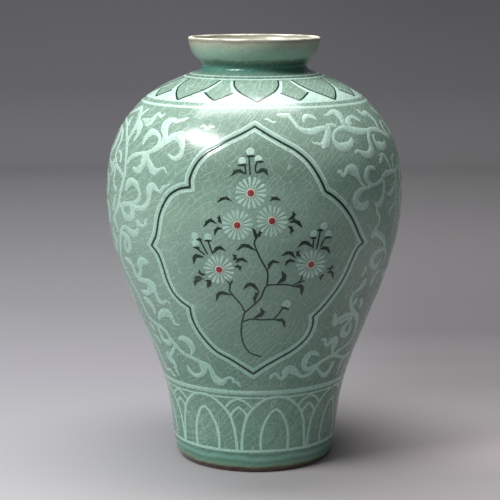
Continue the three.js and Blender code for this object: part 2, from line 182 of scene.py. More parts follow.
def shifted(path, shift):
    """A drawn path moved to its right by millimetres along the wall."""
    path = path[:, :2]
    along = unit(np.gradient(path, axis=0) * millimetres(path))
    return moved(path, along[:, 1] * shift, -along[:, 0] * shift)


# The photograph's camera, in millimetres and degrees, and its picture, in pixels
CAMERA_BACK = 1089.3
CAMERA_UP = 342.6
CAMERA_TILT = 10.13
FOCAL_PX = 1543.6
PICTURE_PX = 500
AXIS_PX = 254.3
MIDDLE_PX = PICTURE_PX / 2

# Millimetres of a wall that faces the camera in one pixel
PX_MM = 0.66

# The wall is looked for between these shares of the camera's distance, in this many steps
LOOKED_FROM = 0.85
LOOKED_TO = 1.1
LOOKED_STEPS = 2500

# Traced strokes are drawn this much thinner, and widen at most this much where the wall turns away
THINNED = 0.88
MOST_TURNED = 1.6


def seen(spots):
    """The drawn points that the photograph shows at these pixels, or the nearest ones on its outline."""
    spots = np.asarray(spots, float)
    tilt = math.radians(CAMERA_TILT)
    across = (spots[:, :1] - AXIS_PX) / FOCAL_PX
    up = (MIDDLE_PX - spots[:, 1:2]) / FOCAL_PX
    reach = np.linspace(LOOKED_FROM, LOOKED_TO, LOOKED_STEPS) * CAMERA_BACK
    x = across * reach
    y = (math.cos(tilt) + up * math.sin(tilt)) * reach - CAMERA_BACK
    z = (up * math.cos(tilt) - math.sin(tilt)) * reach + CAMERA_UP
    depth = wall(z)[0] - np.hypot(x, y)
    depth[(z < 0) | (z > NECK_ROOT)] = -np.inf
    first = np.where((depth > 0).any(axis=1), (depth > 0).argmax(axis=1), depth.argmax(axis=1))
    x, y, z = (np.take_along_axis(values, first[:, None], 1)[:, 0] for values in (x, y, z))
    return np.stack([np.degrees(np.arctan2(x, -y)), z], axis=1)


def traced(stroke):
    """A stroke read off the photograph, as (pixel, pixel, width), as drawn points with widths. A width
    is what the stroke would show if it faced the camera, so it grows where the wall turns away."""
    stroke = np.array(stroke, float)
    points = seen(stroke)
    along = unit(np.gradient(stroke[:, :2], axis=0))
    half = along[:, ::-1] * (-1, 1) * stroke[:, 2:] / PX_MM / 2
    across = (seen(stroke[:, :2] + half) - seen(stroke[:, :2] - half)) * millimetres(points)
    width = np.clip(np.linalg.norm(across, axis=1), stroke[:, 2], stroke[:, 2] * MOST_TURNED)
    return np.column_stack([points, width * THINNED])


def smooth_mesh(name, points, faces):
    mesh = bpy.data.meshes.new(name)
    mesh.from_pydata(points, [], faces)
    mesh.polygons.foreach_set("use_smooth", [True] * len(mesh.polygons))
    return mesh


def placed(name, data):
    """A new object in the scene."""
    thing = bpy.data.objects.new(name, data)
    bpy.context.scene.collection.objects.link(thing)
    return thing


def piece(name, mesh, look, *nodes):
    """Puts a finished mesh in the scene, riding on the vase in place of its CAD nodes. Its look is a
    material and the slot of that material; the slot is not used."""
    material, slot = look
    thing = placed(name, mesh)
    mesh.materials.append(material)
    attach(thing, "root")
    if nodes:
        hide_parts(*nodes)


# Slip stands this far above the wall, and its edges sink this far into it
LIFT = 0.12
SUNK = 0.07
EDGE = 0.14
EDGE_TILT = 0.16

# The middle of a strip stands higher by this share of its width, and a round spot by these heights
CROWN = 0.004
SPOT_SHOULDER = 0.03
SPOT_TOP = 0.04
SPOT_SIDES = 28

# Strokes: steps along them, the least width, points round a cap, and what is left of a cap's width
STEP = 1.1
THINNEST = 0.4
CAP_POINTS = 5
CAP_LEFT = 0.003

# A stroke wider than this, in mm, is thinner and greener along its middle, fully so this much wider
CORE_FROM = 1.4
CORE_RANGE = 2.4

# How many times a line cut by hand goes up and down on its way round the vase, in waves laid together
WAVES = (2, 3, 5, 9)


class Slip:
    """Slip laid in the wall: closed strips and patches that follow its curve."""

    def __init__(self):
        self.points = []
        self.normals = []
        self.cores = []
        self.faces = []
        self.count = 0

    def add(self, points, normals, faces, cores=0.0):
        self.points.append(points)
        self.normals.append(normals)
        self.cores.append(np.broadcast_to(cores, len(points)))
        self.faces.extend([[corner + self.count for corner in face] for face in faces])
        self.count += len(points)

    def strip(self, left, right, lift, closed=False):
        """A band between two drawn sides with as many points each."""
        across = (right - left) * millimetres((left + right) / 2)
        width = np.maximum(np.linalg.norm(across, axis=1, keepdims=True), 1e-6)
        edge = np.minimum(EDGE, width / 4) / width
        share = right - left
        rows = [
            (left - share * edge, -SUNK, 0.0),
            (left + share * edge, lift, -EDGE_TILT),
            ((left + right) / 2, lift + width[:, 0] * CROWN, 0.0),
            (right - share * edge, lift, EDGE_TILT),
            (right + share * edge, -SUNK, 0.0),
        ]
        places, normals = zip(*(on_wall(points, rise) for points, rise, _ in rows))
        side = unit(places[4] - places[0])
        normals = [normal + tilt * side for normal, (_, _, tilt) in zip(normals, rows)]
        n = len(left)
        faces = []
        for i in range(n if closed else n - 1):
            j = (i + 1) % n
            faces += [[i + k * n, i + (k + 1) * n, j + (k + 1) * n, j + k * n] for k in range(4)]
            faces.append([i + 4 * n, i, j, j + 4 * n])
        if not closed:
            faces.append([k * n for k in range(5)][::-1])
            faces.append([n - 1 + k * n for k in range(5)])
        cores = np.zeros((5, n))
        cores[2] = np.clip((width[:, 0] - CORE_FROM) / CORE_RANGE, 0, 1)
        self.add(np.concatenate(places), np.concatenate(normals), faces, cores.ravel())

    def stroke(self, points, width=None, lift=LIFT, smooth=True, cap=True):
        """A brush stroke along drawn points. Width is a number or a function of the share of the
        stroke's length; where it is left out, each point brings its own after its height."""
        path = curve(points) if smooth else np.array(points, float)
        length = lengths(path)[-1]
        if width is not None:
            share = lengths(path) / length
            widths = width(share) if callable(width) else np.full_like(share, width)
            path = np.column_stack([path, widths])
        at = np.linspace(0, length, max(3, math.ceil(length / STEP)))
        if cap:
            bends = 1 - np.cos(np.linspace(0, math.pi / 2, CAP_POINTS))
            at = np.concatenate([at, path[0, 2] / 2 * bends, length - path[-1, 2] / 2 * bends])
            at = np.unique(np.round(np.clip(at, 0, length), 3))
        path = resampled(path, at)
        half = np.maximum(path[:, 2], THINNEST) / 2
        if cap:
            near = np.clip(np.minimum(at, length - at) / half, 0, 1)
            half = half * np.sqrt(np.clip(1 - (1 - near) ** 2, CAP_LEFT, 1))
        self.strip(shifted(path, -half), shifted(path, half), lift)

    def ring(self, height, width, lift, wobble, seed):
        """A line right round the vase; its height wanders a little, as a line cut by hand does."""
        turn = np.arange(0, 360, 1.0)
        wander = np.zeros_like(turn)
        chance = random.Random(seed)
        for waves in WAVES:
            wander += np.sin(np.radians(turn * waves + chance.uniform(0, 360))) / waves
        middle = height + wobble * wander
        half = width / 2 / np.hypot(1, wall(middle)[1])
        low = np.stack([turn, middle - half], axis=1)
        high = np.stack([turn, middle + half], axis=1)
        self.strip(high, low, lift, closed=True)

    def spot(self, centre, radius, lift=LIFT, squash=1.0):
        """A round spot of slip."""
        n = SPOT_SIDES
        turn = np.linspace(0, 2 * math.pi, n, endpoint=False)
        middle = np.repeat([centre], n, axis=0)
        rings = [
            (radius + EDGE / 2, -SUNK, 0.0),
            (radius - EDGE / 2, lift, EDGE_TILT),
            (radius / 2, lift + SPOT_SHOULDER, 0.0),
        ]
        places, normals = [], []
        for reach, rise, tilt in rings:
            around = moved(middle, reach * np.cos(turn), reach * squash * np.sin(turn))
            place, normal = on_wall(around, rise)
            places.append(place)
            normals.append(normal + tilt * unit(place - on_wall([centre])[0]))
        top, top_normal = on_wall([centre], lift + SPOT_TOP)
        faces = []
        for i in range(n):
            j = (i + 1) % n
            faces += [[i + k * n, j + k * n, j + (k + 1) * n, i + (k + 1) * n] for k in (0, 1)]
            faces.append([i + 2 * n, j + 2 * n, 3 * n])
        faces.append(list(range(n))[::-1])
        self.add(np.concatenate([*places, top]), np.concatenate([*normals, top_normal]), faces)

    def sheet(self, rows, lift):
        """A wide patch, closed underneath, from rows of drawn points from side to side."""
        rows = np.array(rows, float)
        height, width = rows.shape[:2]
        grid = rows.reshape(-1, 2)
        rim = np.zeros((height, width), bool)
        rim[[0, -1], :] = True
        rim[:, [0, -1]] = True
        top, normal = on_wall(grid, np.where(rim.ravel(), -SUNK, lift))
        bottom, _ = on_wall(grid, -2 * SUNK)
        n = len(grid)
        faces = []
        for i in range(height - 1):
            for j in range(width - 1):
                a = i * width + j
                face = [a, a + 1, a + 1 + width, a + width]
                faces += [face, [corner + n for corner in face][::-1]]
        border = [*range(width)]
        border += [i * width + width - 1 for i in range(1, height)]
        border += [(height - 1) * width + j for j in range(width - 2, -1, -1)]
        border += [i * width for i in range(height - 2, 0, -1)]
        for a, b in zip(border, border[1:] + border[:1]):
            faces.append([b, a, a + n, b + n])
        self.add(np.concatenate([top, bottom]), np.concatenate([normal, normal]), faces)

    def lay(self, name, look, *nodes):
        """Makes the slip one piece of the vase, in place of its CAD nodes."""
        mesh = smooth_mesh(name, np.concatenate(self.points).tolist(), self.faces)
        normals = unit(np.concatenate(self.normals))
        mesh.normals_split_custom_set_from_vertices(normals.tolist())
        core = mesh.attributes.new("core", "FLOAT", "POINT")
        core.data.foreach_set("value", np.concatenate(self.cores))
        piece(name, mesh, look, *nodes)


class Value:
    """What a node gives, so that sums can be written with signs."""

    def __init__(self, nodes, socket):
        self.nodes = nodes
        self.socket = socket

    def __add__(self, other):
        return self.nodes.math("ADD", self, other)

    def __sub__(self, other):
        return self.nodes.math("SUBTRACT", self, other)

    def __rsub__(self, other):
        return self.nodes.math("SUBTRACT", other, self)

    def __mul__(self, other):
        return self.nodes.math("MULTIPLY", self, other)

    def __truediv__(self, other):
        return self.nodes.math("DIVIDE", self, other)

    def output(self, name):
        """Another thing that the same node gives."""
        return Value(self.nodes, self.socket.node.outputs[name])


class Nodes:
    """A node tree to build in."""

    def __init__(self, tree):
        self.tree = tree

    def plug(self, value, socket):
        """Links a value to a socket, or writes a plain number, vector or colour there."""
        if isinstance(value, Value):
            self.tree.links.new(value.socket, socket)
        else:
            socket.default_value = value

    def node(self, kind, inputs, output=0, **settings):
        """What a new node gives, from its inputs by name or number."""
        node = self.tree.nodes.new(kind)
        for name, value in settings.items():
            setattr(node, name, value)
        for name, value in inputs.items():
            self.plug(value, node.inputs[name])
        return Value(self, node.outputs[output])

    def math(self, operation, a, b):
        return self.node("ShaderNodeMath", {0: a, 1: b}, operation=operation)

    def remap(self, value, low, high, least=0.0, most=1.0):
        """Runs smoothly from least to most while a value runs from low to high."""
        inputs = {"Value": value, "From Min": low, "From Max": high, "To Min": least, "To Max": most}
        return self.node("ShaderNodeMapRange", inputs, interpolation_type="SMOOTHSTEP")


# Craze lines on the front climb this much for each millimetre across, and this much more per millimetre
CRAZE_SLOPE = 1.15
CRAZE_STEEPENS = 0.008

# Noise of these scales moves the long craze lines this far, in mm
CRAZE_WANDERS = ((14, 17.0), (45, 5.5), (160, 1.8), (420, 0.6))

# A craze line is whole over this share of its width, and noise of this scale bends the cells' edges
CRAZE_CORE = 0.3
CELL_NOISE = 70


class Shader(Nodes):
    """A material with a Principled shader. Across, away and up are a place in millimetres."""

    def __init__(self, name):
        self.material = bpy.data.materials.new(name)
        self.material.use_nodes = True
        super().__init__(self.material.node_tree)
        self.principled = self.tree.nodes["Principled BSDF"]
        self.place = self.node("ShaderNodeTexCoord", {}, "Object")
        split = self.node("ShaderNodeSeparateXYZ", {0: self.place})
        self.across, self.away, self.up = (split.output(axis) / MM for axis in range(3))

    def feed(self, **values):
        """Fills inputs of the Principled shader; an underscore stands for a space in a name."""
        for name, value in values.items():
            self.plug(value, self.principled.inputs[name.replace("_", " ")])

    def noise(self, scale, detail, output="Fac"):
        inputs = {"Vector": self.place, "Scale": scale, "Detail": detail}
        return self.node("ShaderNodeTexNoise", inputs, output)

    def patches(self, scale, detail, low, high, least, most):
        """Goes from least to most in patches, where noise goes from low to high."""
        return self.remap(self.noise(scale, detail), low, high, least, most)

    def vector(self, operation, a, b):
        return self.node("ShaderNodeVectorMath", {0: a, 1: b}, operation=operation)

    def mix(self, share, a, b):
        return self.node("ShaderNodeMix", {0: share, 6: a, 7: b}, 2, data_type="RGBA")

    def ramp(self, value, stops):
        """Colours along a value, from (place, colour) stops."""
        colour = self.node("ShaderNodeValToRGB", {0: value})
        elements = colour.socket.node.color_ramp.elements
        while len(elements) < len(stops):
            elements.new(0.5)
        for element, (at, stop) in zip(elements, stops):
            element.position = at
            element.color = stop
        return colour

    def edges(self, inputs, half, **settings):
        """The edges of cells as lines, 1 on a line and 0 beside it, half being a share of a cell."""
        settings["feature"] = "DISTANCE_TO_EDGE"
        distance = self.node("ShaderNodeTexVoronoi", inputs, "Distance", **settings)
        return self.remap(distance, half * CRAZE_CORE, half, 1.0, 0.0)

    def long_lines(self, spacing, width):
        """Long craze lines that rise to the right and steepen from left to right."""
        slope = self.across * (CRAZE_STEEPENS / 2) + CRAZE_SLOPE
        rise = self.up - self.across * slope
        for scale, amount in CRAZE_WANDERS:
            rise = rise + (self.noise(scale, 1) - 0.5) * (amount * 2)
        inputs = {"W": rise / spacing, "Scale": 1.0}
        return self.edges(inputs, width / spacing / 2, voronoi_dimensions="1D")

    def cracks(self, cell, half_width, warp, upright=1.0):
        """Craze lines round wandering cells, in mm; below 1, upright makes the cells taller."""
        drift = self.vector("SUBTRACT", self.noise(CELL_NOISE, 2, "Color"), (0.5, 0.5, 0.5))
        drift = self.vector("MULTIPLY", drift, (warp * MM,) * 3)
        place = self.vector("ADD", self.place, drift)
        place = self.vector("MULTIPLY", place, (1, 1, upright))
        return self.edges({"Vector": place, "Scale": 1 / (cell * MM)}, half_width / cell)


def rgb(red, green, blue):
    """A colour written in 0 to 255 as it looks, in the linear values that shaders take."""
    shares = (red / 255, green / 255, blue / 255)
    linear = [((c + 0.055) / 1.055) ** 2.4 if c > 0.04 else c / 12.92 for c in shares]
    return (*linear, 1.0)


TICK_COLOUR = rgb(92, 124, 106)
CELADON = rgb(118, 150, 132)
CELADON_LIGHT = rgb(134, 164, 146)
CELADON_DARK = rgb(96, 134, 114)
THIN_WHITE = rgb(142, 178, 162)

# Noise in patches: its scale and detail, a range of the noise, and what that range is turned into
CLOUDS = (28, 3, 0.35, 0.65, 0.0, 1.0)
GRAIN = (260, 3, 0.3, 0.7, 0.0, 0.35)
FINE_CRAZE = (22, 2, 0.42, 0.6, 0.0, 0.7)
LONG_CRAZE = (70, 2, 0.42, 0.54, 0.15, 1.0)
HATCHED_CRAZE = (17, 1, 0.46, 0.58, 0.0, 0.75)
ROUGHNESS = (120, 3, 0.3, 0.7, 0.2, 0.27)
WANDER = (60, 3, 0.3, 0.7, -0.7, 0.7)
WORN_WHITE = (160, 4, 0.56, 0.74, 0.0, 0.6)
WORN_CORE = (110, 3, 0.35, 0.65, 0.1, 0.4)
WORN_BLACK = (220, 3, 0.6, 0.8, 0.0, 0.35)
WORN_PETAL = (240, 4, 0.5, 0.7, 0.0, 0.5)
COARSE_CRAZE = 0.8

# The glaze's waves and its fine unevenness as noise of a scale and a detail. Their heights and the
# craze lines' are shares of a depth
WAVE_NOISE = (45, 2)
PEEL_NOISE = (420, 2)
WAVE = 2.0
PEEL = 0.04
LINE_DEPTH = 0.03
DEPTH = 0.4 * MM
BUMP = 0.6

# Gloss of the glaze
GLASS = 1.5
COAT = 0.2
COAT_ROUGH = 0.1
LINE_ROUGH = 0.08

# Craze lines show this much above the neck's root and under the white line over the foot, with
# fades between these heights
FAINT = 0.4
NECK_FADE = (NECK_ROOT - 1, NECK_ROOT + 1)
FOOT_FADE = (FOOT_LINE - 3, FOOT_LINE - 1)


def glazed(name, tones, lines, line_share, ticks=0.0, tinted=None):
    """A glazed surface: mottled in its base, light and dark tones, with craze lines, glossy with a
    faint waviness. Ticks are the short dark cracks that cross white slip. Tinted is a function that
    tints the colour under the lines."""
    base, light, dark = tones
    shader = Shader(name)
    colour = shader.mix(shader.patches(*CLOUDS), dark, light)
    colour = shader.mix(0.5, base, colour)
    colour = shader.mix(shader.patches(*GRAIN), colour, light)
    if tinted:
        colour = tinted(shader, colour)
    craze = shader.cracks(cell=5.6, half_width=0.14, warp=6.0, upright=0.8) * COARSE_CRAZE
    for more, where in (
        (shader.cracks(cell=2.4, half_width=0.1, warp=3.0, upright=0.7), FINE_CRAZE),
        (shader.long_lines(spacing=5.2, width=0.7), LONG_CRAZE),
        (shader.long_lines(spacing=2.6, width=0.5), HATCHED_CRAZE),
    ):
        craze = shader.math("MAXIMUM", craze, more * shader.patches(*where))
    on_body = shader.remap(shader.up, *NECK_FADE, 1.0, FAINT)
    over_foot = shader.remap(shader.up, *FOOT_FADE, FAINT, 1.0)
    craze = craze * (on_body * over_foot)
    colour = shader.mix(craze * line_share, colour, lines)
    if ticks:
        short = shader.cracks(cell=2.1, half_width=0.15, warp=2.0)
        colour = shader.mix(short * ticks, colour, TICK_COLOUR)
    height = shader.noise(*WAVE_NOISE) * WAVE + shader.noise(*PEEL_NOISE) * PEEL - craze * LINE_DEPTH
    inputs = {"Strength": BUMP, "Distance": DEPTH, "Height": height}
    shader.rough = shader.patches(*ROUGHNESS) + craze * LINE_ROUGH
    shader.colour = colour
    shader.feed(Base_Color=colour, Roughness=shader.rough, Normal=shader.node("ShaderNodeBump", inputs))
    shader.feed(IOR=GLASS, Coat_Weight=COAT, Coat_Roughness=COAT_ROUGH, Coat_IOR=GLASS)
    return shader


def by_height(shader, stops, colour):
    """Tints a colour by stops of (height in millimetres, red, green, blue, share of the tint)."""
    stops = [(height / RIM, (*rgb(*tone)[:3], share)) for height, *tone, share in stops]
    tint = shader.ramp((shader.up + shader.patches(*WANDER)) / RIM, stops)
    return shader.mix(tint.output("Alpha"), colour, tint)


# Painted shade low on the right side, away from the lamps: darker between these places across and heights
PAINTED_SIDE_SHADE = rgb(40, 74, 56)
PAINTED_SIDE_SHADE_FROM = 20
PAINTED_SIDE_SHADE_FULL = 72
PAINTED_SIDE_SHADE_LOW = 115
PAINTED_SIDE_SHADE_HIGH = 190
PAINTED_SIDE_SHADE_ON_BODY = 0.5
PAINTED_SIDE_SHADE_ON_SLIP = 0.2


def with_painted_side_shade(shader, colour, most):
    """Painted shade low on the right side, over clay and slip alike."""
    across = shader.remap(shader.across, PAINTED_SIDE_SHADE_FROM, PAINTED_SIDE_SHADE_FULL)
    down = shader.remap(shader.up, PAINTED_SIDE_SHADE_LOW, PAINTED_SIDE_SHADE_HIGH, 1.0, 0.0)
    return shader.mix(across * down * most, colour, PAINTED_SIDE_SHADE)


# A darker tint in the head of the medallion, in mm: an ellipse that fades in upwards. It fades
# out between two shares of its size
HEAD_COLOUR = rgb(86, 116, 98)
HEAD_MIDDLE = 200
HEAD_HALF_WIDTH = 48
HEAD_HALF_HEIGHT = 40
HEAD_FROM = 203
HEAD_FULL = 216
HEAD_CORE = 0.75
HEAD_EDGE = 1.05
HEAD_SHARE = 0.75

# The glaze from foot to lip, with painted light and shade in it: height in mm, red, green, blue, and share
# of the tint
BODY_TINTS_AND_PAINTED_LIGHT = [
    (2.2, 78, 48, 40, 1),
    (3.1, 86, 62, 46, 1),
    (3.9, 98, 94, 68, 1),
    (4.8, 104, 124, 94, 1),
    (5.8, 106, 144, 120, 0.95),
    # Painted highlight and shade on the roll over the foot: dark, a light line, then dark under the white
    # line
    (8.1, 76, 124, 106, 0.9),
    (10.9, 120, 172, 154, 0.95),
    (13.2, 80, 126, 110, 0.85),
    (14.3, 66, 108, 90, 0.8),
    (15.6, 80, 124, 106, 0.6),
    # Painted shade: darker down the lower wall, which the belly shades from the lamps above
    (24, 84, 130, 110, 0.6),
    (BAND, 88, 134, 115, 0.55),
    (95, 100, 148, 127, 0.45),
    # Painted light: lighter round the belly, from 135 to 190 mm
    (135, 132, 166, 149, 0.6),
    (190, 140, 170, 153, 0.7),
    # Painted shade: darker again over the head of the medallion and up the shoulder
    (212, 124, 152, 137, 0.3),
    (232, 112, 134, 121, 0.6),
    (NECK_ROOT - 6, 110, 132, 119, 0.65),
    # Darker in the neck and under the flare: glaze pooled there, and painted shade under the flare
    (NECK_ROOT + 0.4, 92, 124, 110, 0.8),
    (NECK_ROOT + 1.6, 62, 116, 102, 0.95),
    (NECK, 57, 117, 101, 0.95),
    (NECK + 2.4, 55, 107, 92, 0.95),
    (NECK + 3.5, 84, 110, 90, 0.9),
    (NECK + 5.3, 114, 138, 118, 0.9),
    (NECK + 6.2, 146, 178, 160, 0.9),
    (FLARE + 4.4, 146, 176, 158, 0.7),
    (LIP - 4, 160, 174, 152, 0.8),
    (LIP - 1.6, 172, 172, 148, 0.95),
    (LIP + 0.2, 124, 118, 104, 1),
    (LIP + 0.8, 150, 144, 131, 1),
    (LIP + 1.3, 202, 200, 186, 1),
]


def body_tint_and_painted_light(shader, colour):
    """The glaze's colour from foot to lip with painted light and shade, darker in the medallion's head."""
    across = shader.across / HEAD_HALF_WIDTH
    above = (shader.up - HEAD_MIDDLE) / HEAD_HALF_HEIGHT
    inside = shader.remap(across * across + above * above, HEAD_CORE, HEAD_EDGE, HEAD_SHARE, 0.0)
    inside = inside * shader.remap(shader.up, HEAD_FROM, HEAD_FULL)
    colour = shader.mix(inside, colour, HEAD_COLOUR)
    # Then painted shade low on the right side
    return with_painted_side_shade(shader, by_height(shader, BODY_TINTS_AND_PAINTED_LIGHT, colour), PAINTED_SIDE_SHADE_ON_BODY)


# The glaze pools in the neck and over the foot, up to about this height, and is smoother there
POOL = 12
POOL_FADES = 2
POOL_SMOOTHER = 0.12

# It has run off the lip, which is dry and rougher from one of these heights to the other
DRY_FADE = (LIP - 1, LIP + 0.5)
DRY_ROUGHER = 0.35
SPECULAR = 0.5


def celadon_body():
    tones = (CELADON, CELADON_LIGHT, CELADON_DARK)
    shader = glazed("celadon_glaze", tones, rgb(202, 228, 212), line_share=0.4, tinted=body_tint_and_painted_light)
    dry = shader.remap(shader.up, *DRY_FADE)
    wet = 1.0 - dry
    over_foot = shader.remap(shader.up, POOL, POOL + POOL_FADES, 1.0, 0.0)
    above_root = shader.remap(shader.up, NECK_ROOT, NECK_ROOT + POOL_FADES)
    pooled = over_foot + above_root * shader.remap(shader.up, NECK, NECK + POOL_FADES, 1.0, 0.0)
    rough = shader.rough + dry * DRY_ROUGHER - pooled * POOL_SMOOTHER
    shader.feed(Roughness=rough, Coat_Weight=wet * COAT, Specular_IOR_Level=wet * SPECULAR)
    return shader.material


# Under thicker glaze the slip on the lower wall looks greener, in the same terms
GREENER_BELOW = [
    (0, 154, 212, 190, 0.6),
    (75, 162, 220, 198, 0.6),
    (140, 180, 232, 212, 0.6),
    (195, 180, 228, 210, 0.3),
    (225, 170, 212, 194, 0),
]


def greener_below_and_side_shade(shader, colour):
    # The slip takes the painted shade low on the right side too
    return with_painted_side_shade(shader, by_height(shader, GREENER_BELOW, colour), PAINTED_SIDE_SHADE_ON_SLIP)


def white_slip():
    tones = (rgb(186, 213, 201), rgb(200, 225, 214), rgb(166, 199, 185))
    lines = rgb(140, 173, 158)
    shader = glazed("white_slip_glazed", tones, lines, line_share=0.35, ticks=0.5, tinted=greener_below_and_side_shade)
    core = shader.node("ShaderNodeAttribute", {}, "Fac", attribute_name="core")
    core = core * shader.patches(*WORN_CORE)
    thin = shader.math("MAXIMUM", shader.patches(*WORN_WHITE), core)
    shader.feed(Base_Color=shader.mix(thin, shader.colour, THIN_WHITE))
    return shader.material


def black_slip():
    tones = (rgb(18, 40, 31), rgb(32, 58, 46), rgb(10, 26, 20))
    shader = glazed("black_slip_glazed", tones, rgb(90, 116, 102), line_share=0.12)
    worn = shader.patches(*WORN_BLACK)
    shader.feed(Base_Color=shader.mix(worn, shader.colour, CELADON_DARK))
    return shader.material


def thin_slip():
    """White slip that lets the clay show through it."""
    tones = (rgb(150, 182, 166), rgb(164, 194, 179), rgb(132, 166, 149))
    lines = rgb(196, 222, 206)
    shader = glazed("thin_slip_glazed", tones, lines, line_share=0.3, ticks=0.5, tinted=greener_below_and_side_shade)
    return shader.material


def petal_slip():
    tones = (rgb(178, 212, 198), rgb(206, 234, 222), rgb(146, 190, 173))
    shader = glazed("petal_slip_glazed", tones, rgb(128, 166, 150), line_share=0.35)
    worn = shader.patches(*WORN_PETAL)
    shader.feed(Base_Color=shader.mix(worn, shader.colour, CELADON_LIGHT))
    return shader.material


def rosy_slip():
    """The pale slip that the red of a flower's centre has stained."""
    tones = (rgb(212, 204, 192), rgb(226, 220, 208), rgb(196, 180, 168))
    return glazed("rosy_slip_glazed", tones, rgb(170, 186, 172), line_share=0.2).material


def red_slip():
    tones = (rgb(142, 48, 44), rgb(160, 66, 58), rgb(108, 30, 32))
    return glazed("red_slip_glazed", tones, rgb(196, 150, 138), line_share=0.2).material


# A look is a material and the slot of that material
GLAZE = (celadon_body(), "celadon_body")
WHITE = (white_slip(), "white_slip")
BLACK = (black_slip(), "black_slip")
RED = (red_slip(), "red_slip")
THIN = (thin_slip(), "white_slip")
PETAL = (petal_slip(), "white_slip")
ROSY = (rosy_slip(), "white_slip")


def part_of_profile(points):
    """A smooth stretch of a turned profile and its normals, up the outside and down the inside."""
    points = np.array(points, float)
    along = np.gradient(points, axis=0)
    return points, unit(np.stack([along[:, 1], -along[:, 0]], axis=1))


# How finely the turned sections are divided, in mm and in steps
BODY_STEP = 1.5
MOUTH_STEP = 0.6
LINING_STEP = 4
TURNED_SEGMENTS = 288
DENSE = 400
ON_AXIS = 1e-6


def wall_profile(low, high, spacing, stations):
    """The outer wall between two heights as a stretch of profile."""
    dense = np.linspace(low, high, DENSE)
    radius, _ = wall(dense, stations)
    along = np.concatenate([[0], np.cumsum(np.hypot(np.diff(radius), np.diff(dense)))])
    heights = np.interp(np.linspace(0, along[-1], math.ceil(along[-1] / spacing) + 1), along, dense)
    radius, lean = wall(heights, stations)
    slope = np.hypot(1, lean)
    return np.stack([radius, heights], axis=1), np.stack([1 / slope, -lean / slope], axis=1)


def lining(low, high):
    """The inside of the wall, from a height down to a lower one."""
    heights = np.linspace(high, low, math.ceil((high - low) / LINING_STEP) + 1)
    radius, lean = wall(heights)
    slope = np.hypot(1, lean)
    return np.stack([radius - WALL / slope, heights + WALL * lean / slope], axis=1)


def turned(name, stretches):
    """A closed solid of revolution; two stretches of profile meet at a crease."""
    turn = np.arange(TURNED_SEGMENTS) * 2 * math.pi / TURNED_SEGMENTS
    places, rings = [], []

    def add(radius, height):
        first = sum(len(p) for p in places)
        if radius < ON_AXIS:
            places.append(np.array([[0, 0, height]]))
            rings.append(np.full(TURNED_SEGMENTS, first))
            return
        around = [radius * np.sin(turn), -radius * np.cos(turn), np.full_like(turn, height)]
        places.append(np.stack(around, axis=1))
        rings.append(first + np.arange(TURNED_SEGMENTS))

    faces, normals = [], []
    first_point = stretches[0][0][0]
    add(*first_point)
    last = 0
    for number, (points, slopes) in enumerate(stretches):
        for i in range(1, len(points)):
            closes = number == len(stretches) - 1 and i == len(points) - 1
            if closes and np.allclose(points[i], first_point):
                upper = 0
            else:
                add(*points[i])
                upper = len(rings) - 1
            low_ring, high_ring = rings[last], rings[upper]
            low_pole, high_pole = points[i - 1][0] < ON_AXIS, points[i][0] < ON_AXIS
            for a in range(TURNED_SEGMENTS):
                b = (a + 1) % TURNED_SEGMENTS
                corners = [(low_ring, a, 0), (low_ring, b, 0), (high_ring, b, 1), (high_ring, a, 1)]
                if low_pole:
                    corners.pop(1)
                elif high_pole:
                    corners.pop(3)
                faces.append([int(ring[k]) for ring, k, _ in corners])
                for _, k, end in corners:
                    out, up = slopes[i - 1 + end]
                    normals.append((out * math.sin(turn[k]), -out * math.cos(turn[k]), up))
            last = upper
    mesh = smooth_mesh(name, (np.concatenate(places) * MM).tolist(), faces)
    mesh.normals_split_custom_set(normals)
    return mesh


def arc(centre, radius, start, end, count=8):
    """Points of a circular arc in a profile, between two angles in degrees from the outward side."""
    turn = np.radians(np.linspace(start, end, count))
    return np.stack([centre[0] + radius * np.cos(turn), centre[1] + radius * np.sin(turn)], axis=1)


# The foot is wiped clean of glaze to this height, and tucks in under the wall
GLAZE_EDGE = 4.2
GLAZE_TUCK = 0.9
GLAZE_ROUND = [(0.45, 0.8), (0.1, 0.4), (0, 0)]
FOOT_TUCK = 2.9
FOOT_ROUND = 1.8
RING_ROUND = 1.2

# The unglazed underside rises inside the foot ring, as (radius, height over the recess)
RECESS_MIDDLE = [(0, 0.6), (20, 0.4)]
RECESS_EDGE = [(3, 0), (0.6, -1)]
FLOOR_DIP = 0.2


